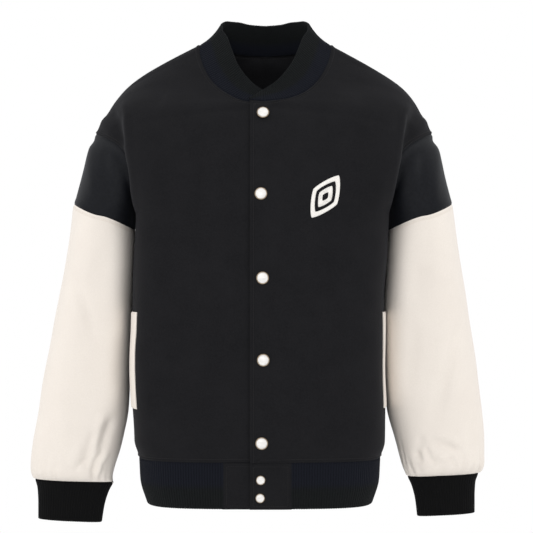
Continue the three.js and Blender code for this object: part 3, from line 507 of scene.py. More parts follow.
# %% Melton
STITCH_AT = 5.4  # the topstitching runs this far from its seam
melton = finish_of("wool melton", (0.006, 0.006, 0.0065), 0.92, Sheen_Weight=0.05, Sheen_Roughness=0.42,
                   Sheen_Tint=(0.62, 0.62, 0.68, 1), Specular_IOR_Level=0.09)
clumps = noise(melton, 420, 4, 0.7, high=0.72)
slow = noise(melton, 26, 3, 0.55, 0.32, 0.68)
thread, furrow_and_shade = stitching(melton, STITCH_AT)
felt_color = blend(melton, clumps, (0.0056, 0.0056, 0.0066), (0.0104, 0.0104, 0.0116))
felt_color = tinted(melton, felt_color, slow, 0.35, (0.0125, 0.0123, 0.0138))
# painted shade: the felt's colour darkens in the groove beside the stitches
felt_color = tinted(melton, felt_color, furrow_and_shade, 0.35, (0.0036, 0.0036, 0.0042))
felt_color = tinted(melton, felt_color, thread, 0.4, (0.034, 0.0325, 0.034))
felt_height = math(melton, "MULTIPLY_ADD", clumps, 0.16, math(melton, "MULTIPLY", furrow_and_shade, -0.55))
dress(melton, felt_color, math(melton, "MULTIPLY_ADD", thread, 0.35, felt_height))
print(melton.name, "ready")

# %% [markdown]
# ## The sleeve cloths, the ribs and the snaps
# The upper sleeves are a smoother, bluer black with a faint sheen, and a fine twill can be felt in them. The
# lower sleeves are cream and nearly plain, so their look comes from shade in the creases, with only a light
# grain. The ribs are knitted: their ridges are real shape, and the stitches on each ridge are a small wave
# in the bump that bends at the ridge's middle. A snap is a pearl cap in a bronze-toned ring.

# %% Sleeve cloths
upper_cloth = finish_of("smooth navy-black cloth", (0.005, 0.0054, 0.0072), 0.62, Sheen_Weight=0.05,
                        Sheen_Roughness=0.35, Sheen_Tint=(0.6, 0.64, 0.72, 1), Specular_IOR_Level=0.12)
where = add(upper_cloth, "ShaderNodeTexCoord", out="Object")
twill = add(upper_cloth, "ShaderNodeTexWave", {"Vector": where, "Scale": 240, "Distortion": 0.6},
            out=1, bands_direction="DIAGONAL")
grain = noise(upper_cloth, 260, 3)
upper_color = blend(upper_cloth, grain, (0.0036, 0.0041, 0.0058), (0.0068, 0.0076, 0.0099))
grain_height = math(upper_cloth, "MULTIPLY", grain, 0.08)
dress(upper_cloth, upper_color, math(upper_cloth, "MULTIPLY_ADD", twill, 0.05, grain_height))

cream_cloth = finish_of("cream sleeve cloth", (0.72, 0.66, 0.60), 0.62, Sheen_Weight=0.12,
                        Sheen_Roughness=0.5, Specular_IOR_Level=0.28)
grain = noise(cream_cloth, 520, 4, 0.7)
slow = noise(cream_cloth, 14, 2, low=0.35, high=0.65)
thread, furrow_and_shade = stitching(cream_cloth, 4.6)
cream_color = blend(cream_cloth, grain, (0.70, 0.645, 0.585), (0.745, 0.69, 0.632))
cream_color = tinted(cream_cloth, cream_color, slow, 0.3, (0.675, 0.615, 0.56))
# painted shade: the cream darkens to brown in the groove beside the stitches
cream_color = tinted(cream_cloth, cream_color, furrow_and_shade, 0.28, (0.5, 0.41, 0.33))
cream_color = tinted(cream_cloth, cream_color, thread, 0.5, (0.8, 0.74, 0.68))
cream_height = math(cream_cloth, "MULTIPLY_ADD", grain, 0.07, math(cream_cloth, "MULTIPLY", furrow_and_shade, -0.5))
dress(cream_cloth, cream_color, math(cream_cloth, "MULTIPLY_ADD", thread, 0.3, cream_height))
print(upper_cloth.name, "and", cream_cloth.name, "ready")


# %% Ribs
def rib_finish(name, low, high, tint):
    """Doubled rib knit. Its colour goes from one shade to a tint over the band that the mesh carries, and
    the stitches are a sine of the height plus the distance from the ridge's middle. The valleys between
    the ridges are darkened in the colour as painted shade."""
    look = finish_of(name, low, 0.88, Sheen_Weight=0.04, Sheen_Roughness=0.5,
                     Sheen_Tint=(0.6, 0.62, 0.66, 1), Specular_IOR_Level=0.08)
    lint = noise(look, 600, 3, 0.7)
    color = blend(look, lint, low, high)
    color = tinted(look, color, carried(look, "band"), 0.9, tint)
    # painted shade: the colour darkens in the rib's valleys, between the ridges
    color = tinted(look, color, carried(look, "valley"), 0.45, (0.0016, 0.0016, 0.002))
    lean = math(look, "ABSOLUTE", carried(look, "off_ridge"))
    loop = math(look, "SINE", math(look, "MULTIPLY", math(look, "ADD", carried(look, "up"), lean), 4.2))
    dress(look, color, math(look, "MULTIPLY_ADD", loop, 0.09, math(look, "MULTIPLY", lint, 0.12)))
    return look


green_black = ((0.0038, 0.0045, 0.0048), (0.0074, 0.0086, 0.009))
navy_rib = rib_finish("navy-banded rib", *green_black, (0.0056, 0.0066, 0.0112))
soft_black = ((0.0018, 0.0018, 0.0019), (0.0042, 0.0042, 0.0044))
black_rib = rib_finish("black rib", *soft_black, (0.003, 0.003, 0.0031))
print(navy_rib.name, "and", black_rib.name, "ready")

# %% Pearl and metal
pearl = finish_of("pearl snap cap", (0.72, 0.7, 0.68), 0.3, Coat_Weight=0.3, Coat_Roughness=0.08,
                  Specular_IOR_Level=0.55)
swirl = noise(pearl, 120, 2, 0.5, 0.35, 0.65, (1, 1, 3))
pearl_color = blend(pearl, swirl, (0.66, 0.645, 0.63), (0.78, 0.76, 0.735))
dress(pearl, pearl_color, math(pearl, "MULTIPLY", swirl, 0.02))
ring_metal = finish_of("snap ring metal", (0.33, 0.26, 0.18), 0.34, Metallic=1.0)
scuff = noise(ring_metal, 900, 3, low=0.35, high=0.65)
dress(ring_metal, blend(ring_metal, scuff, (0.26, 0.2, 0.14), (0.4, 0.32, 0.23)),
      math(ring_metal, "MULTIPLY", scuff, 0.02))
print(pearl.name, "and", ring_metal.name, "ready")

# %% [markdown]
# ## The sleeves
# A sleeve is a tube of rings. At its top the rings are the armhole itself, and lower down they lean, because
# the seam between the dark cloth and the cream one climbs towards the outside. At the cuff the sleeve is
# wider than the rib, so it rounds in over two centimetres and the spare cloth stands in small pleats. On the
# real sleeve no two pleats are alike, so their places and depths are drawn by lot, and die out going up.

# %% Sleeve tables
SLEEVES = {
    -1: {
        "tube": table("height inner outer", [
            (-60, 240, 335), (47, 221, 346), (83, 211, 343), (137, 201, 334), (191, 199, 325),
            (245, 197.6, 315), (299, 195.2, 304), (353, 193, 294), (402, 191, 287), (442, 190, 281),
        ]),
        "cuff": table("height inner outer half", [
            (-60, 240, 335, 18), (-35, 236, 335, 18.5), (-15, 230, 336, 20), (0, 222, 340, 23),
        ]),
        "seam": 30,
    },
    1: {
        "tube": table("height inner outer", [
            (-60, 231, 317), (47, 210, 332), (83, 201, 332), (137, 186, 328), (191, 182.3, 322),
            (245, 180.2, 314), (299, 181.6, 305), (353, 184.8, 296), (402, 188.4, 288), (442, 190, 283),
        ]),
        "cuff": table("height inner outer half", [
            (-60, 231, 317, 18), (-35, 228, 317, 18.5), (-15, 223, 318, 20), (0, 216, 323, 23),
        ]),
        "seam": 39,
    },
}
SLEEVE_DEPTH = table("height half middle", [
    (-60, 36, -12), (47, 41, -11), (83, 45, -10), (137, 52, -8), (191, 58, -6), (245, 64, -4), (299, 70, -2),
    (353, 76, 0), (442, 83, 0),
])
SLEEVE_SLANT = table("height slant", [
    (85, 0), (122, 2), (168, 4), (215, 6), (262, 8), (308, 11), (353, 14), (392, 17), (423, 19),
])
CUFF_MIDDLE_Y = -11.5
CUFF_TILT = 2.6  # the cuffs hang this much lower on the inner side, and as much higher on the outer one
GATHER_RISE = 19  # the sleeve rounds in to the cuff over this height
FIRST_RING = 423  # height of the slanted seam at the middle of the sleeve
SEAM_SLANT = 19  # that seam's rise from the middle to the outer side, and its fall to the inner one
for side, name in ((-1, "right"), (1, "left")):
    print(name, "sleeve ends", SLEEVES[side]["seam"], "mm above the hem")


# %% Sleeve surfaces
def oval(angle, half_x, half_y, square=2.3):
    """A rounded box: each half width times the cosine or sine to the power 2 over the squareness."""
    c, s = np.cos(np.radians(angle)), np.sin(np.radians(angle))
    power = 2 / square
    return half_x * np.sign(c) * np.abs(c) ** power, half_y * np.sign(s) * np.abs(s) ** power


def tube(side, angle, height, slant):
    """The sleeve's surface on a ring that leans by the slant: lower on its inner side, higher outside."""
    z = height + slant * np.cos(np.radians(angle))
    inner, outer = (curve(SLEEVES[side]["tube"], name)(z) for name in ("inner", "outer"))
    x, y = oval(angle, (outer - inner) / 2, curve(SLEEVE_DEPTH, "half")(z), 2.7)
    return np.stack([side * ((outer + inner) / 2 + x), curve(SLEEVE_DEPTH, "middle")(z) - y, z], -1)


def cuff_point(side, angle, drop):
    """The cuff's surface, a drop below its seam."""
    width = SLEEVES[side]["cuff"]
    inner, outer, half_y = (curve(width, name)(drop) for name in ("inner", "outer", "half"))
    x, y = oval(angle, (outer - inner) / 2, half_y)
    z = SLEEVES[side]["seam"] + drop + CUFF_TILT * np.cos(np.radians(angle))
    return np.stack([side * ((outer + inner) / 2 + x), CUFF_MIDDLE_Y - y, z], -1)


def pleats(angle, above, seed):
    """The gathers over the cuff: bells at uneven places round the sleeve, each with its own depth and width,
    rising from the seam within a few millimetres and dying out by its own height."""
    rng = np.random.default_rng(seed)
    total = 0 * angle * above
    for at in np.cumsum(rng.uniform(11, 30, 17)):
        width, depth, height = rng.uniform(3, 6.5), rng.uniform(1.4, 4.2), rng.uniform(12, 44)
        lean = rng.uniform(-0.25, 0.25)
        off = (angle + lean * above - at + 180) % 360 - 180
        total = total - depth * np.exp(-((off / width) ** 2)) * np.exp(-((above / height) ** 2))
    return total * (1 - np.exp(-above / 2.5))


def sleeve_inside(side):
    """A point on the sleeve's own middle line for each of its points."""
    width = SLEEVES[side]["tube"]

    def inside(p):
        middle = (curve(width, "inner")(p[:, 2]) + curve(width, "outer")(p[:, 2])) / 2
        return np.stack([side * middle, 0 * middle, p[:, 2]], -1)

    return inside


# %% Sleeve grids
def top_grid(side, around, down):
    """An upper sleeve's points: from the armhole to the slanted seam, with a swell on the outer side."""
    t = down[:, None, None]
    top = np.where((around <= 180)[:, None], armhole(around, -1), armhole(360 - around, 1))
    low = tube(side, around[None, :], FIRST_RING, SEAM_SLANT)
    out = np.stack([side * np.cos(np.radians(around)), -np.sin(np.radians(around)), 0 * around], -1)[None]
    swell = 3 * (1 + np.cos(np.radians(around)))[None, :, None] ** 2
    top = turned(top, side)[None]
    grid = top + (low - top) * t + out * swell * t * (1 - t)
    grid[:, -1] = grid[:, 0]
    return grid


def arm_grid(side, around):
    """A lower sleeve's points: leaning rings down the arm, then the rounding and the pleats over the cuff."""
    seam = SLEEVES[side]["seam"]
    upper_part = np.concatenate([[FIRST_RING, 422.3, 421.2, 419.6, 417.6], np.linspace(415, seam + 46, 62)])
    above = np.concatenate([np.linspace(43, 12, 16), [10, 8, 6.2, 4.6, 3.2, 2, 1, 0.4, 0]])
    height = np.concatenate([upper_part, seam + above])[:, None]
    over = height - seam
    grid = tube(side, around[None, :], height, curve(SLEEVE_SLANT, "slant")(height))
    grid[..., 2] += CUFF_TILT * np.cos(np.radians(around)) * np.clip(1 - over / 70, 0, 1)
    share = np.sqrt(1 - (1 - np.clip(over / GATHER_RISE, 0, 1)) ** 2)[..., None]
    low = cuff_point(side, around[None, :], 0 * height) + np.array([0, 0, 1]) * over[..., None]
    out = np.stack([side * np.cos(np.radians(around)), -np.sin(np.radians(around)), 0 * around], -1)[None]
    small = pleats(around[None, :], np.maximum(over, 0), 40 + side) * (over < 60)
    grid = low * (1 - share) + grid * share + out * small[..., None]
    grid[:, -1] = grid[:, 0]
    return grid


AROUND = np.linspace(0, 360, 161)
DOWN = clustered(30, 0.03)
print("sleeve grids:", top_grid(1, AROUND, DOWN).shape[:2], "and", arm_grid(1, AROUND).shape[:2])

# %% [markdown]
# ## The fronts
# Each front is one piece of melton from its free edge to the side seam, and the left one laps over the right.
# Two grids make it: a narrow strip past the line of snaps, and the half panel. Their shared line is the same
# numbers, so the net welds there. A ridge down the armhole side, with a trough behind it, is where the cloth
# of the chest breaks over the dropped shoulder, and it is the strongest crease on the jacket.

# %% Grids of the fronts
CLOTH = 2.5  # the thickness of every cut cloth
LAP = 1.8  # the left front stands out by this much where it laps, and the right one lies in by it


def torso_inside(p):
    """A point within the torso for each point of a panel."""
    return np.stack([p[:, 0] * 0.75, 0 * p[:, 0], np.minimum(p[:, 2], 560)], -1)


def lap_share(x):
    """How much of the lap's step is left at a distance from the middle: all up to 30, none past 62."""
    t = np.clip((62 - np.abs(x)) / 32, 0, 1)
    return t * t * (3 - 2 * t)


def front_grids(side):
    """The half panel, and the strip from its middle line to the free edge, straight in depth and height.
    In its last rows the strip bends to end on the neck seam."""
    main = turned(panel(-1, ROWS, COLUMNS), side)
    rows = ROWS <= FIRST_ARM_ROW + len(MIDDLES[-1]) - 1
    r, share = ROWS[rows], np.array([1, 0.93, 0.84, 0.72, 0.55, 0.35, 0.15, 0])
    middle = main[rows, 0]
    edge = middle.copy()
    edge[:, 0] = -side * PLACKET_EDGE
    throat = turned(neck(share * edge_angle(side)) * np.array([-1, 1, 1]), side)
    strip = middle[:, None] + share[None, :, None] * (edge - middle)[:, None]
    late = np.clip(r - r[-1] + 0.6, 0, 0.6)[:, None, None] / 0.6
    return main, strip + (throat - strip[-1])[None] * late**2


def neck_line(side):
    """The neck seam of a front, from its free edge to the shoulder."""
    return turned(neck(np.linspace(-edge_angle(side), 90, 90)), side)


def armhole_line(half_side, side):
    """The armhole seam of a front (half_side -1) or the back (1)."""
    return turned(armhole(np.linspace(180, 0, 80), half_side), side)


print("neck seam of the left front:", len(neck_line(1)), "points")

# %% Front creases
FRONT_CREASES = {
    1: [(6, 4.5, 218, 590, 207, 570, 202, 545, 198, 515, 192, 480, 187, 432),
        (8, -5.5, 236, 584, 219, 560, 211, 530, 205, 505), (7, 2, 246, 574, 234, 545, 224, 525),
        (34, 1.6, 150, 585, 60, 560), (30, -1.6, 168, 420, 120, 330), (34, 1.5, 60, 300, 120, 190),
        (14, 1.8, 176, 300, 170, 120), (24, -1.2, 40, 150, 130, 110)],
    -1: [(6, 4, -206, 594, -198, 570, -194, 530, -191, 480, -187, 428),
         (8, -5.5, -228, 586, -213, 560, -205, 520), (7, 1.8, -242, 574, -228, 545, -220, 525),
         (34, 1.8, -150, 590, -80, 560), (30, -1.8, -160, 410, -100, 350), (34, 1.5, -70, 330, -100, 200),
         (14, 1.8, -176, 250, -168, 120), (24, -1.2, -50, 140, -130, 100)],
}
print("front creases:", len(FRONT_CREASES[1]), "and", len(FRONT_CREASES[-1]))

# %% Plain nets of every cloth
NETS = {}
for side, name in ((1, "left"), (-1, "right")):
    NETS["front_" + name] = net_of(front_grids(side), torso_inside)
    NETS["sleeve_top_" + name] = net_of([top_grid(side, AROUND, DOWN)], sleeve_inside(side))
    NETS["sleeve_" + name] = net_of([arm_grid(side, AROUND)], sleeve_inside(side))
halves = {side: turned(panel(1, ROWS, COLUMNS), side) for side in (1, -1)}
NETS["back_panel"] = net_of(halves.values(), torso_inside)
NETS = {name: (*net, facings(*net)) for name, net in NETS.items()}
print("plain nets:", {name: len(net[0]) for name, net in NETS.items()})

# %% From a plain net to a sewn cloth
FRONTS = {"front_left", "front_right"}
FACES = {}


def sewn_cloth(node, look, stitched, joined, fold, calm, lift=0.0, ridge=0.0, settle=None):
    """Makes a cloth from its plain net, and lets it replace its solid.
    Its folds die out within the calm distance of the lines where it is joined, and its face sinks there.
    Beside its stitched lines it stands up in a ridge 3 away, a bell 1.9 wide. Settle moves it at the end."""
    points, quads = NETS[node][:2]
    others = [net for name, net in NETS.items() if name != node and {name, node} != FRONTS]
    facing = shared_facings(NETS[node], others)
    near, run = measure_to(points, stitched)
    sewn, _ = measure_to(points, joined)
    raised = ridge * np.exp(-(((near - 3) / 1.9) ** 2))
    height = lift + fold * np.clip(sewn / calm, 0, 1) + raised + rolled(sewn)
    points = points + facing * height[:, None]
    if settle:
        points = settle(points)
    FACES[node] = (points, facings(points, quads))
    piece = cloth_shell(node + "_cloth", points, quads, facing, CLOTH, look, near, run)
    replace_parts(piece, node)
    print(node, len(points), "points on its face")


# %% Front panels
SNAPS = {  # height, across, radius
    "snap_1": (571.8, 0.9, 9), "snap_2": (453, -2, 9), "snap_3": (332.8, 0.4, 9), "snap_4": (215.6, 1.4, 9),
    "snap_5": (96.9, -0.9, 9), "hem_snap_1": (43.3, -2.3, 6.7), "hem_snap_2": (17.2, -3.1, 6.7),
}
FRONT_DRIFT = (130, 0.9, 8)  # the size, amount and seed of the fronts' slow wandering


def held_upright(points):
    """The top snap's stiff plate holds the leaning cloth more upright. The move in depth is the height over
    the snap times 0.42, within a bell 15 wide."""
    height, across, _ = SNAPS["snap_1"]
    up = points[:, 2] - height
    y = -0.42 * up * np.exp(-((np.hypot(points[:, 0] - across, up) / 15) ** 2))
    return points + np.stack([0 * y, y, 0 * y], -1)


for side, node in ((1, "front_left"), (-1, "front_right")):
    points = NETS[node][0]
    main, strip = front_grids(side)
    seams = [neck_line(side), armhole_line(-1, side), main[0, ::4]]
    stitched = [*seams, strip[::4, 0]] if side > 0 else seams
    joined = [*seams, main[-1, ::4], main[::4, -1]]
    lift = side * LAP * lap_share(points[:, 0] - aside(points[:, 2]))
    fold = creases(points, FRONT_CREASES[side]) + uneven(points, *FRONT_DRIFT)
    sewn_cloth(node, melton, stitched, joined, fold, 12, lift, 1.1, held_upright)

# %% [markdown]
# ## The back
# The back of a jacket like this is one piece with no middle seam, cut wide so that its shoulders drop past
# the wearer's own. The camera never sees it, but it breaks over the dropped shoulders as the fronts do, and
# it has the long soft waves that hang from the shoulder blades.

# %% Back panel
BACK_CREASES = [
    (8, 3.8, 212, 592, 203, 562, 196, 512, 189, 444), (9, -4.8, 230, 572, 212, 524),
    (8, 3.6, -208, 594, -199, 562, -193, 508, -187, 440), (9, -5, -226, 570, -209, 520),
    (26, 1.8, 130, 560, 104, 380), (28, 1.9, -120, 556, -90, 350), (36, -1.6, 16, 540, -10, 300),
    (30, -1.4, 150, 330, 96, 150), (26, -1.5, -146, 300, -110, 120), (36, 1.5, -40, 250, 44, 110),
]
SIDE_ROWS = 96  # the rows up the side seam and just past it
points = NETS["back_panel"][0]
neck_angles = np.linspace(90, 180, 60)
back_neck = np.concatenate([turned(neck(neck_angles), -1), turned(neck(neck_angles[::-1]), 1)])
hems = [grid[0, ::4] for grid in halves.values()]
stitched = [back_neck, armhole_line(1, 1), armhole_line(1, -1), *hems]
joins = [line for grid in halves.values() for line in (grid[-1, ::4], grid[:SIDE_ROWS:4, -1])]
fold = creases(points, BACK_CREASES, 1) + uneven(points, 150, 1.0, 21)
sewn_cloth("back_panel", melton, stitched, [*stitched, *joins], fold, 12, ridge=1.1)

# %% Upper sleeves
UPPER_CREASES = {
    1: [(9, 2.4, 262, 540, 250, 440), (8, -2.2, 236, 520, 230, 440), (10, -1.2, 282, 500, 276, 430)],
    -1: [(9, 2.2, -258, 548, -248, 450), (8, -2, -232, 524, -224, 440), (10, -1.2, -276, 510, -272, 440)],
}
for side, node in ((1, "sleeve_top_left"), (-1, "sleeve_top_right")):
    points, grid = NETS[node][0], top_grid(side, AROUND, DOWN)
    armhole_seam, cream_seam, up = grid[0], grid[-1], points[:, 2]
    beside = np.exp(-(((measure_to(points, [armhole_seam])[0] - 9) / 9) ** 2))
    valley = -3.2 * beside * np.clip((570 - up) / 40, 0, 1) * np.clip((up - 436) / 30, 0, 1)
    fold = creases(points, UPPER_CREASES[side]) + 0.7 * creases(points, UPPER_CREASES[side], 1)
    fold = fold + valley + uneven(points, 90, 0.6, 31 + side)
    sewn_cloth(node, upper_cloth, [cream_seam], [armhole_seam, cream_seam], fold, 10)

# %% Lower sleeve creases
LOWER_CREASES = {
    -1: [(8, -2.4, -277, 338, -257, 290, -246, 244), (11, 1.4, -290, 318, -268, 268),
         (6, -3.6, -246, 108, -256, 80, -262, 50), (7, -4.2, -223, 128, -232, 100, -240, 74),
         (7, 2.4, -233, 132, -244, 104, -251, 78), (4, -3, -234, 78, -246, 62, -250, 42),
         (4, 2, -228, 74, -238, 58, -243, 40), (4, -2.2, -262, 66, -276, 48), (5, 1.6, -270, 84, -282, 54),
         (14, 1.2, -300, 180, -286, 96), (10, -1.6, -212, 250, -216, 170), (14, 1.2, -240, 390, -246, 350),
         (18, 1.1, -262, 220, -268, 150), (8, -1.2, -318, 120, -300, 60),
         (17, 5.5, -209, 410, -213, 300, -216, 200, -222, 110)],
    1: [(9, -2.8, 285, 268, 262, 155, 248, 121), (11, 1.2, 298, 240, 276, 160),
        (5, -3.4, 254, 90, 272, 85, 291, 75), (6, 2.4, 254, 100, 274, 95, 292, 86),
        (4, -2.6, 240, 84, 247, 66, 256, 56), (4, 2, 258, 72, 272, 62), (4, -2.4, 276, 68, 286, 54),
        (4, -2, 228, 76, 236, 60), (10, -1.8, 224, 262, 214, 160), (16, 1.3, 270, 380, 262, 320),
        (12, -1.4, 232, 350, 224, 300), (6, -2.2, 236, 100, 226, 62), (8, -1.2, 310, 130, 304, 66),
        (16, 3.5, 206, 410, 203, 320, 201, 220, 206, 140)],
}
BEHIND_CREASES = {
    -1: [(9, -2.3, -280, 330, -251, 262, -226, 214), (12, 1.4, -290, 300, -270, 240),
         (8, -2.2, -236, 128, -262, 84), (12, 1.2, -300, 160, -280, 92)],
    1: [(9, -2.4, 276, 322, 248, 250, 226, 206), (12, 1.4, 292, 290, 272, 236),
        (8, -2.2, 240, 132, 268, 92), (12, 1.2, 302, 170, 282, 100)],
}
print("lower sleeve creases:", len(LOWER_CREASES[1]), "and", len(LOWER_CREASES[-1]))

# %% Lower sleeves
SLEEVE_GAP = 0.5
INNER_REACH, INNER_TOP = 206, 415  # a sleeve may touch the body this near to the middle, and below this
BODY_SIDE = 155  # only the body's cloth beyond this is near a sleeve
DEEPEST = 12  # a point further than this behind a face is near another part of it


def kept_off(points, faces):
    """Moves points that are nearer to a cloth's face than the gap, or behind it, out along the way it faces.
    A point's distance is its offset from the face's nearest point, along that point's facing."""
    out = points.copy()
    close = np.flatnonzero((np.abs(out[:, 0]) < INNER_REACH) & (out[:, 2] < INNER_TOP))
    for other, facing in faces:
        beside = np.abs(other[:, 0]) > BODY_SIDE
        other, facing = other[beside], facing[beside]
        for part in np.array_split(close, 1 + len(close) * len(other) // 4_000_000):
            at = ((out[part][:, None] - other) ** 2).sum(-1).argmin(1)
            off = ((out[part] - other[at]) * facing[at]).sum(-1)
            move = np.where(off > -DEEPEST, np.clip(SLEEVE_GAP - off, 0, None), 0)
            out[part] += facing[at] * move[:, None]
    return out


for side, name in ((1, "left"), (-1, "right")):
    points, grid = NETS["sleeve_" + name][0], arm_grid(side, AROUND)
    fold = creases(points, LOWER_CREASES[side]) + creases(points, BEHIND_CREASES[side], 1)
    fold = fold + uneven(points, 100, 0.75, 51 + side)
    settle = functools.partial(kept_off, faces=[FACES["front_" + name], FACES["back_panel"]])
    sewn_cloth("sleeve_" + name, cream_cloth, [grid[0]], [grid[0], grid[-1]], fold, 9, settle=settle)

# %% [markdown]
# ## Rib bands
# The cuffs, the hem and the collar are knitted ribs, folded double, so each has a soft rounded fold at its
# free edge. A band is one closed net: down its outside, round the fold, and up its inside. The ridges are
# real shape and follow the knit from the seam to the fold. The outside of a ridge is one less the distance
# from its middle to a power, which gives a broad ridge and a narrow valley, as a stretched rib has.


# %% The section of a rib band
RIB_PITCH = 3.9
RIB_STEPS = 8  # columns of points in a rib
TUCK = 1.5  # a band begins this far under the cloth that it is sewn to, and the hem's ends go under the tabs


def length_of(line):
    """How far along a line each of its points is."""
    return np.concatenate([[0], np.cumsum(np.linalg.norm(np.diff(line, axis=0), axis=1))])


def band_grid(at, columns, ridge, depth, relief, thickness):
    """A band's points: down its outside, round the fold, up its inside, and its first row again.
    Also gives each row's share v of the depth, and the way the first row faces."""
    v = np.concatenate([[-TUCK / depth, 0, 0.01, 0.03], np.linspace(0.06, 1 - thickness / 2 / depth, 15)])
    along = at(columns + 0.0015, v) - at(columns - 0.0015, v)
    down = at(columns, v + 0.004) - at(columns, v - 0.004)
    facing, down = unit(np.cross(along, down)), unit(down)
    outside = at(columns, v)
    if ((outside - outside.mean(axis=(0, 1))) * facing)[..., :2].sum() < 0:
        facing = -facing
    rib = (relief * (ridge - 1))[None, :, None]
    sunk = (rolled(v * depth, 1.0, 1.6) - 0.9 * (v < 0))[:, None, None]
    outer = outside + facing * (sunk + rib)
    turn = np.radians(np.arange(20, 181, 20))[:, None, None]
    away = facing[-1] * np.cos(turn) + down[-1] * np.sin(turn)
    fold = outside[-1] - facing[-1] * thickness / 2 + away * (thickness / 2 + rib * np.cos(turn / 2))
    inner = (outside - facing * thickness)[:-1][::-3]
    rows = np.concatenate([v, np.ones(len(turn)), v[:-1][::-3], v[:1]])
    return np.concatenate([outer, fold, inner, outer[:1]]), rows, facing[0]


print("a rib every", RIB_PITCH, "mm")


# %% Rib bands
def rib_band(name, at, length, depth, relief, thickness, look, closed=False, tint=None):
    """A folded band. at(share, v) gives its outside for shares along it and v from the seam to the fold.
    The ridge is one less the distance from its middle, from 0 to 1, to the power 2.4. tint says at which v
    the tint ends, and over how much of v. Without it, every row has half of it."""
    ribs = round(length / RIB_PITCH)
    count = np.arange(ribs * RIB_STEPS + 1)
    columns = count / (ribs * RIB_STEPS)
    lean = 2 * (count % RIB_STEPS / RIB_STEPS) - 1
    grid, rows, facing = band_grid(at, columns, 1 - np.abs(lean) ** 2.4, depth, relief, thickness)
    n = np.arange(grid[..., 0].size).reshape(grid.shape[:2])
    n[-1] = n[0]
    if closed:
        n[:, -1] = n[:, 0]
    quads = np.stack([n[:-1, :-1], n[:-1, 1:], n[1:, 1:], n[1:, :-1]], -1).reshape(-1, 4)
    flat, first = grid.reshape(-1, 3), quads[:len(columns) - 1]
    across = np.cross(flat[first[:, 2]] - flat[first[:, 0]], flat[first[:, 3]] - flat[first[:, 1]])
    step = -1 if (across * facing[:-1]).sum() < 0 else 1
    ends = [] if closed else [n[:-1, 0], n[:-1, -1][::-1]]
    used = np.unique(quads)
    number = np.zeros(n.size, dtype=int)
    number[used] = np.arange(len(used))
    faces = [number[face][::step].tolist() for face in (*quads, *ends)]
    share = 0.5 + 0 * rows if tint is None else np.clip((tint[0] - rows) / tint[1] + 0.5, 0, 1)
    # valley marks where the painted shade between the ridges falls
    values = {"up": rows[:, None] * depth, "off_ridge": lean / 2 * RIB_PITCH, "valley": np.abs(lean) ** 6,
              "band": share[:, None]}
    values = {key: np.broadcast_to(value, n.shape).ravel()[used] for key, value in values.items()}
    print(name, ribs, "ribs,", len(used), "points")
    return mesh_piece(name, flat[used], faces, look, values)


# %% Cuffs
CUFF_DEPTH = 60 - SEAM_GAP


def cuff_outside(side):
    """The function that gives a cuff's outside, with equal steps along each ring."""

    def at(share, v):
        rings = []
        for drop in -SEAM_GAP - CUFF_DEPTH * v:
            ring = cuff_point(side, np.linspace(0, 720, 721), drop)
            run = length_of(ring)
            want = np.mod(share, 1) * run[360]
            rings.append(np.stack([np.interp(want, run, ring[:, k]) for k in range(3)], -1))
        return np.array(rings)

    return at


for side, node in ((1, "cuff_left"), (-1, "cuff_right")):
    girth = length_of(cuff_point(side, np.linspace(0, 360, 361), -15.0))[-1]
    cuff = rib_band(node + "_rib", cuff_outside(side), girth, CUFF_DEPTH, 0.5, 3.6, black_rib, closed=True)
    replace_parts(cuff, node)

# %% Hem rib
LEFT_TAB, RIGHT_TAB = 42, 57  # how far the tabs reach from the line of snaps
HEM_DEPTH = 68 - SEAM_GAP / 2
QUARTER = 241  # points along a quarter of the hem's outline


def hem_loop(height):
    """The torso's outline at one height, from the middle of the front round the wearer's left to it again."""
    t = np.linspace(0, 1, QUARTER)[:, None]
    wide, full = half(height), curve(CORNER, "fullness")(height)
    a, b, c = (1 - t) ** 2, 2 * full * t * (1 - t), t * t
    quarter = {}
    for way in (-1, 1):
        start, corner, end = (0, depth_of[way](height)), (wide, depth_of[way](height)), (wide, 0)
        quarter[way] = (a * np.array(start) + b * np.array(corner) + c * np.array(end)) / (a + b + c)
    left = np.concatenate([quarter[-1], quarter[1][::-1][1:]])
    both = np.concatenate([left, (left * np.array([-1, 1]))[::-1][1:]])
    return np.concatenate([both, np.full((len(both), 1), float(height))], 1), quarter[-1][:, 0]


def hem_at(share, v):
    """The hem rib's outside: equal steps along the outline from the left tab to the right one."""
    rows = []
    for height in HEM_DEPTH * (1 - v):
        loop, front_x = hem_loop(height)
        run = length_of(loop)
        start = np.interp(LEFT_TAB - TUCK - aside(height), front_x, run[:QUARTER])
        end = run[-1] - np.interp(RIGHT_TAB - TUCK + aside(height), front_x, run[:QUARTER])
        want = start + share * (end - start)
        row = np.stack([np.interp(want, run, loop[:, k]) for k in range(3)], -1)
        rows.append(row + np.array([aside(height), 0, 0]))
    return np.array(rows)


hem_length = length_of(hem_at(np.linspace(0, 1, 400), np.zeros(1))[0])[-1]
hem = rib_band("hem_rib_knit", hem_at, hem_length, HEM_DEPTH, 0.75, 3.6, navy_rib, tint=(0.52, 0.05))
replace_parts(hem, "hem_rib")

# %% Collar
COLLAR_TOP = table("angle x y z", [
    (0, 0, -75, 608), (18, 12, -71, 616), (36, 26, -63, 630), (53, 41, -50, 652), (67, 50, -34, 674),
    (79, 57, -17, 693), (90, 65, 0, 706), (105, 66, 18, 716), (121, 57, 33, 722), (138, 42, 44, 722),
    (158, 23, 52, 719), (180, 0, 55, 717.5),
])
COLLAR_HALF = 400  # points along each half of the neck seam


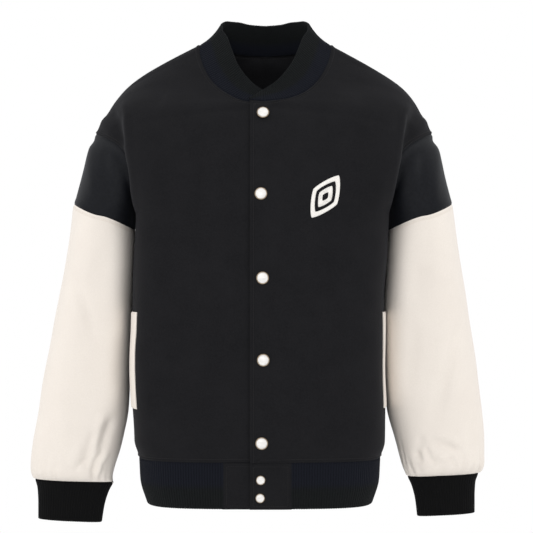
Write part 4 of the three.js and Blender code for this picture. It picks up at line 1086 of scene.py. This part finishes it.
def collar_point(side, angle, t):
    """The collar's outside: an arc from the neck seam to its top edge, with a hollow near the seam.
    An arc is start times (1-t) squared, middle times 2t(1-t) and end times t squared."""
    start = neck(angle)
    end = np.where(side < 0, -edge_angle(-1), -edge_angle(1))
    high = np.clip(angle, 0, 180)
    stop = np.stack([curve(COLLAR_TOP, name)(high) for name in "xyz"], -1)
    share = np.clip(angle / end, 0, 1)[..., None]
    stop = stop * (1 - share) + (neck(end) + np.array([0, 0, 1.5])) * share
    hollow = np.clip(angle / 60, 0, 1)
    dip = np.stack([-2 * np.sin(np.radians(angle)) * hollow, 0 * hollow, -5 * hollow], -1)
    middle = (start + stop) / 2 + dip
    t = t[..., None]
    point = start * (1 - t) ** 2 + middle * 2 * t * (1 - t) + stop * t * t
    point = point * np.stack([side, 0 * side + 1, 0 * side + 1], -1)
    return point + np.stack([aside(point[..., 2]), 0 * t[..., 0], 0 * t[..., 0]], -1)


right_angles = np.linspace(-edge_angle(-1), 180, COLLAR_HALF)
left_angles = np.linspace(180, -edge_angle(1), COLLAR_HALF)
collar_angles = np.concatenate([right_angles, left_angles[1:]])
collar_sides = np.where(np.arange(len(collar_angles)) < COLLAR_HALF, -1.0, 1.0)
collar_run = length_of(collar_point(collar_sides, collar_angles, 0 * collar_angles))


def collar_at(share, v):
    """The collar for shares along the neck seam, from the right end round the back to the left one.
    Its ends lap where they cross at the front: each moves out or in along the way the throat faces."""
    want = np.clip(share, 0, 1) * collar_run[-1]
    angle = np.interp(want, collar_run, collar_angles)
    side = np.where(want <= collar_run[COLLAR_HALF - 1], -1.0, 1.0)
    v = v[:, None]
    point = collar_point(side[None] + 0 * v, angle[None] + 0 * v, v + 0 * angle[None])
    x = point[..., 0] - aside(point[..., 2])
    out = np.array([0, -0.8, 0.6]) * (side * 2.4 * lap_share(x) * (point[..., 1] < NECK_MIDDLE))[..., None]
    return point + out


collar = rib_band("collar_knit", collar_at, collar_run[-1], 44, 0.75, 4, navy_rib, tint=(0.45, 0.08))
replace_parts(collar, "collar")

# %% [markdown]
# ## Tabs, welts and snaps
# The ends of the hem band are plain cloth tabs, stitched all round near their edges, and the pockets are
# edged with a slim cream welt set on a slant. Both are small flat pieces laid on the form of the front, so
# they are drawn as sheets with their edges rolled under. The snaps are turned shapes: a curve spun round an
# axis, set on the cloth where it lies and square to it.


# %% Hem tabs
def sheet_piece(name, grid, thickness, look, edge_drop, inside):
    """A small sheet from a grid of its outside, with its four edges rolled under and stitched alongside."""
    points, quads = net_of([grid], inside)
    facing = facings(points, quads)
    border = np.concatenate([grid[0], grid[1:, -1], grid[-1, ::-1][1:], grid[::-1, 0][1:]])
    near, run = measure_to(points, [border])
    points = points + facing * rolled(near, edge_drop, 1.0)[:, None]
    return cloth_shell(name, points, quads, facings(points, quads), thickness, look, near, run)


def on_axis(points):
    """The point at the same height on the upright line through the frame's origin, for each point."""
    return points * np.array([0, 0, 1])


def tab_grid(side):
    """A tab's outside: level rows from its free end to the rib, as deep as the torso's outline is there."""
    ends = (-PLACKET_EDGE, LEFT_TAB) if side > 0 else (PLACKET_EDGE, -RIGHT_TAB)
    tight = clustered(34, 0.02)
    rows = []
    for height in HEM_DEPTH * (1 - tight):
        loop, front_x = hem_loop(height)
        x = ends[0] + (ends[1] - ends[0]) * tight
        own = x - aside(height)
        y = np.interp(np.abs(own), front_x, loop[:QUARTER, 1]) - side * LAP * lap_share(own)
        rows.append(np.stack([x, y, 0 * x + height], -1))
    return np.array(rows)


for side, node in ((1, "hem_tab_left"), (-1, "hem_tab_right")):
    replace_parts(sheet_piece(node + "_cloth", tab_grid(side), 3.0, melton, 0.9, on_axis), node)
print("tabs reach", LEFT_TAB, "and", RIGHT_TAB, "mm from the line of snaps")

# %% Pocket welts
cream_welt = finish_of("cream welt cloth", (0.74, 0.68, 0.62), 0.6, Sheen_Weight=0.1, Specular_IOR_Level=0.3)
weave = noise(cream_welt, 480, 4, 0.7)
thread, _ = stitching(cream_welt, 1.9, 2.6, 0.4)
welt_color = blend(cream_welt, weave, (0.72, 0.66, 0.6), (0.78, 0.725, 0.665))
welt_color = tinted(cream_welt, welt_color, thread, 0.6, (0.62, 0.53, 0.44))
weave_height = math(cream_welt, "MULTIPLY", weave, 0.07)
dress(cream_welt, welt_color, math(cream_welt, "MULTIPLY_ADD", thread, 0.2, weave_height))
WELTS = {1: (8, 9.3), -1: (7, 8.5)}  # the first and last of the panel's ten columns that each one spans
WELT_ROWS = (2.1, 4.7)
WELT_CLOTH = 2.0
FIRST_COLUMN = 30  # the panel's first column runs this far from its middle


def welt_grid(side):
    """A welt's outside: the panel's own points between its rows and columns, moved out with its folds."""
    rows, dense = np.linspace(*WELT_ROWS, 90), np.linspace(0, 1, 400)
    reach = panel(-1, rows, dense)[..., 0]
    first = np.array([np.interp(FIRST_COLUMN, line, dense) for line in reach])[:, None]
    column = WELTS[side][0] + (WELTS[side][1] - WELTS[side][0]) * clustered(12, 0.05)
    shares = first + (1 - first) * (column - 1) / 9
    grid = turned(np.stack([panel(-1, rows[k:k + 1], shares[k])[0] for k in range(len(rows))]), side)
    flat = grid.reshape(-1, 3)
    across = np.cross(np.gradient(grid, axis=0), np.gradient(grid, axis=1))
    facing = unit(across) * np.sign((across * (grid - torso_inside(flat).reshape(grid.shape))).sum())
    fold = creases(flat, FRONT_CREASES[side]) + uneven(flat, *FRONT_DRIFT)
    return grid + facing * (fold.reshape(grid.shape[:2]) + WELT_CLOTH + SEAM_GAP)[..., None]


for side, node in ((1, "pocket_welt_left"), (-1, "pocket_welt_right")):
    grid = welt_grid(side)
    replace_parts(sheet_piece(node + "_cloth", grid, WELT_CLOTH, cream_welt, 1.0, torso_inside), node)
print("welts of", grid.shape[0], "by", grid.shape[1], "points")


# %% Snaps
def spun(name, profile, hollow, radius, center, facing, look, sides=48):
    """A turned shape: its profile of distances from the axis and heights, in radii, spun and set square to
    the cloth. A hollow one's profile is a loop. A solid one's ends are closed with flat faces."""
    across = unit(np.cross([0, 0, 1.0], facing))
    upward = np.cross(facing, across)
    a = np.linspace(0, 2 * np.pi, sides, endpoint=False)
    wheel = np.cos(a)[:, None] * across + np.sin(a)[:, None] * upward
    profile = np.array(profile) * radius
    rings = center + profile[:, 0, None, None] * wheel[None] + profile[:, 1, None, None] * facing
    n = np.arange(len(profile) * sides).reshape(-1, sides)
    loop = np.concatenate([n, n[:1]]) if hollow else n
    after = np.roll(loop, -1, axis=1)
    faces = np.stack([loop[:-1], after[:-1], after[1:], loop[1:]], -1).reshape(-1, 4).tolist()
    if not hollow:
        faces += [n[0, ::-1].tolist(), n[-1].tolist()]
    return mesh_piece(name, rings.reshape(-1, 3), faces, look)


DOME = [(0.78, 0), (0.835, 0.04), (0.855, 0.12), (0.84, 0.2), (0.77, 0.27), (0.66, 0.33), (0.53, 0.375),
        (0.38, 0.41), (0.2, 0.432), (0.08, 0.44)]
RING = [(0.86, 0), (0.97, 0), (1, 0.04), (1, 0.1), (0.98, 0.155), (0.935, 0.18), (0.885, 0.175), (0.86, 0.14)]
SNAP_SEAT = 0.4  # how far the snaps stand off the cloth's face
front_points, front_facing = FACES["front_left"]
tab_points = tab_grid(1).reshape(-1, 3)
for name, (height, across, radius) in SNAPS.items():
    on_tab = name.startswith("hem")
    cloth = tab_points if on_tab else front_points
    away = np.hypot(cloth[:, 0] - across, cloth[:, 2] - height)
    way = np.array([0, -1.0, 0]) if on_tab else unit(front_facing[away < radius].mean(0))
    center = np.array([across, cloth[away.argmin(), 1], height]) + way * SNAP_SEAT
    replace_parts(spun(name + "_cap", DOME, False, radius, center, way, pearl), name)
    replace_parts(spun(name + "_ring", RING, True, radius, center, way, ring_metal), name + "_rim")
print(len(SNAPS), "snaps")

# %% [markdown]
# ## The chest motif
# Such jackets carry something embroidered on the chest. This one gets a motif that says nothing: two slanted
# lozenges, one in the other, in cream thread. A satin stitch is many parallel threads laid across a narrow
# band, so each band is a low cushion, and its threads are a wave in the bump that runs across it.


# %% Chest motif
MOTIF_AT, MOTIF_HALF, MOTIF_LEAN = (90, 449), (20, 36), -33  # across and height, half sizes, degrees
MOTIF_SIDES = 160


def on_front(across, height):
    """The point of the left front's face at a place, read off the plane of the nearest point of its net."""
    points, facing = FACES["front_left"]
    spots = np.stack([across.ravel(), height.ravel()], -1)
    near = np.array([np.argmin(((points[:, [0, 2]] - spot) ** 2).sum(1)) for spot in spots])
    base, way = points[near], facing[near]
    gap = spots - base[:, [0, 2]]
    y = base[:, 1] - (gap * way[:, [0, 2]]).sum(1) / way[:, 1]
    return np.stack([spots[:, 0], y, spots[:, 1]], -1), way


def satin_band(name, inner, outer, look):
    """A lozenge of satin stitch between two sizes, its section half an ellipse over a flat underside.
    A lozenge is each half size times the cosine or sine to the power 1.6."""
    a = np.linspace(0, 2 * np.pi, MOTIF_SIDES, endpoint=False)
    c, s = np.cos(a), np.sin(a)
    ring = np.stack([np.sign(c) * np.abs(c) ** 1.6, np.sign(s) * np.abs(s) ** 1.6], -1) * MOTIF_HALF
    lean = np.radians(MOTIF_LEAN)
    ring = ring @ np.array([[np.cos(lean), np.sin(lean)], [-np.sin(lean), np.cos(lean)]])
    w = np.array([0, 0.06, 0.2, 0.4, 0.6, 0.8, 0.94, 1, 0.66, 0.33])
    rise = np.where(np.arange(len(w)) < 8, 1.1 * np.sqrt(np.clip(1 - (2 * w - 1) ** 2, 0, 1)), -0.4)
    flat = ring * (inner + (outer - inner) * w)[:, None, None] + MOTIF_AT
    points, way = on_front(flat[..., 0], flat[..., 1])
    points = points + way * np.repeat(rise, MOTIF_SIDES)[:, None]
    n = np.arange(len(points)).reshape(len(w), MOTIF_SIDES)
    over, after = np.roll(n, -1, axis=0), np.roll(n, -1, axis=1)
    faces = np.stack([n, after, np.roll(after, -1, axis=0), over], -1).reshape(-1, 4)
    run = length_of(np.concatenate([ring, ring[:1]]))[:-1]
    piece = mesh_piece(name, points, faces.tolist(), look, {"run": np.tile(run, len(w))})
    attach(piece, "root")
    return piece


embroidery = finish_of("cream embroidery", (0.85, 0.82, 0.78), 0.5, Sheen_Weight=0.15,
                       Specular_IOR_Level=0.35)
fuzz = noise(embroidery, 700, 3, 0.7)
laid = math(embroidery, "SINE", math(embroidery, "MULTIPLY", carried(embroidery, "run"), 9.0))
dress(embroidery, blend(embroidery, fuzz, (0.78, 0.75, 0.71), (0.9, 0.87, 0.83)),
      math(embroidery, "MULTIPLY_ADD", laid, 0.12, math(embroidery, "MULTIPLY", fuzz, 0.12)))
motif = [satin_band("motif_outer", 0.72, 1.0, embroidery), satin_band("motif_inner", 0.2, 0.5, embroidery)]
print("motif of", len(motif), "bands")

# %% [markdown]
# ## Light, floor and camera
# The jacket stands as it is worn, so the floor lies well below it, pale and plain. A few large soft lamps and
# a bright even sky wash it from all sides, as in a shop's photograph, and a little more light comes from the
# sides so that the dark cloth gets a rim along its folds. The camera looks level at the middle of the jacket
# from three metres.


# %% Stage
def lamp(name, place, size, power, aim=(0, 0, -0.33)):
    """A soft square lamp that faces a point."""
    data = bpy.data.lights.new(name, "AREA")
    data.size, data.energy = size, power
    light = bpy.data.objects.new(name, data)
    light.location = place
    way = np.array(aim) - np.array(place)
    lean, turn = np.arctan2(np.hypot(way[0], way[1]), -way[2]), np.arctan2(-way[0], way[1])
    light.rotation_euler = (lean, 0, turn)
    bpy.context.scene.collection.objects.link(light)
    return light


floor_look = finish_of("plain floor", (0.9, 0.9, 0.9), 0.9)
bpy.ops.mesh.primitive_circle_add(vertices=96, radius=2.4, fill_type="NGON", location=(0, 0, -1.06))
floor = bpy.context.object
floor.name = "floor"
floor.data.materials.append(floor_look)
world = bpy.data.worlds.new("white room")
bpy.context.scene.world = world
world.use_nodes = True
world.node_tree.nodes["Background"].inputs["Color"].default_value = (1, 1, 1, 1)
world.node_tree.nodes["Background"].inputs["Strength"].default_value = 1.0
lights = [
    lamp("front", (-0.3, -3.9, 1.0), 2.6, 38),
    lamp("key from above left", (-1.6, -2.6, 1.2), 1.6, 7),
    lamp("side left", (-2.2, 0.2, 0.2), 1.4, 5),
    lamp("side right", (2.2, 0.2, 0.2), 1.4, 7),
]
camera_data = bpy.data.cameras.new("camera")
camera_data.sensor_width, camera_data.lens = 36, 135.08
camera = bpy.data.objects.new("camera", camera_data)
camera.location = (0.006, -3.0, -0.330)
camera.rotation_euler = (np.radians(90), 0, 0)
bpy.context.scene.collection.objects.link(camera)
bpy.context.scene.camera = camera
bpy.context.scene.view_settings.view_transform = "Standard"
print("stage ready")

# %% [markdown]
# ## What each piece is
# A cloth piece is cut flat, sewn, and then hangs or stands. Its flat size is said here, in metres, with the
# area it was cut to where the cut is far from a rectangle. A tube was cut as a flat piece as wide as the
# tube is round, and a folded rib counts once over, as it shows.

# %% Cloth pieces listed, and every part attached to the root
CUTS = {  # width and length, area, how it is held, slot, what it rests on
    "front_left_cloth": ((0.315, 0.70), 0.179, "draped", "melton", "hem_rib"),
    "front_right_cloth": ((0.315, 0.70), 0.182, "draped", "melton", "hem_rib"),
    "back_panel_cloth": ((0.62, 0.72), 0.362, "draped", "melton", "hem_rib"),
    "sleeve_top_left_cloth": ((0.34, 0.16), 0.035, "hung", "upper_sleeve_cloth", "front_left"),
    "sleeve_top_right_cloth": ((0.34, 0.16), 0.035, "hung", "upper_sleeve_cloth", "front_right"),
    "sleeve_left_cloth": ((0.44, 0.42), 0.157, "hung", "cream_sleeve_cloth", "sleeve_top_left"),
    "sleeve_right_cloth": ((0.44, 0.42), 0.155, "hung", "cream_sleeve_cloth", "sleeve_top_right"),
    "cuff_left_rib": ((0.226, 0.06), None, "hung", "black_rib", "sleeve_left"),
    "cuff_right_rib": ((0.246, 0.06), None, "hung", "black_rib", "sleeve_right"),
    "hem_rib_knit": ((1.0, 0.068), None, "hung", "navy_rib", "back_panel"),
    "hem_tab_left_cloth": ((0.06, 0.068), None, "hung", "melton", "front_left"),
    "hem_tab_right_cloth": ((0.075, 0.068), None, "hung", "melton", "front_right"),
    "collar_knit": ((0.67, 0.05), None, "draped", "navy_rib", "back_panel"),
    "pocket_welt_left_cloth": ((0.043, 0.145), None, "laid", "cream_welt", "front_left"),
    "pocket_welt_right_cloth": ((0.038, 0.145), None, "laid", "cream_welt", "front_right"),
}
for name, (flat, area, held, slot, under) in CUTS.items():
    piece = bpy.data.objects[name]
    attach(piece, "root")
for name in SNAPS:
    for suffix, slot in (("_cap", "pearl_cap"), ("_ring", "snap_metal")):
        piece = bpy.data.objects[name + suffix]
        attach(piece, "root")
print(len(CUTS), "sheets of cloth and", 2 * len(SNAPS), "snap parts")
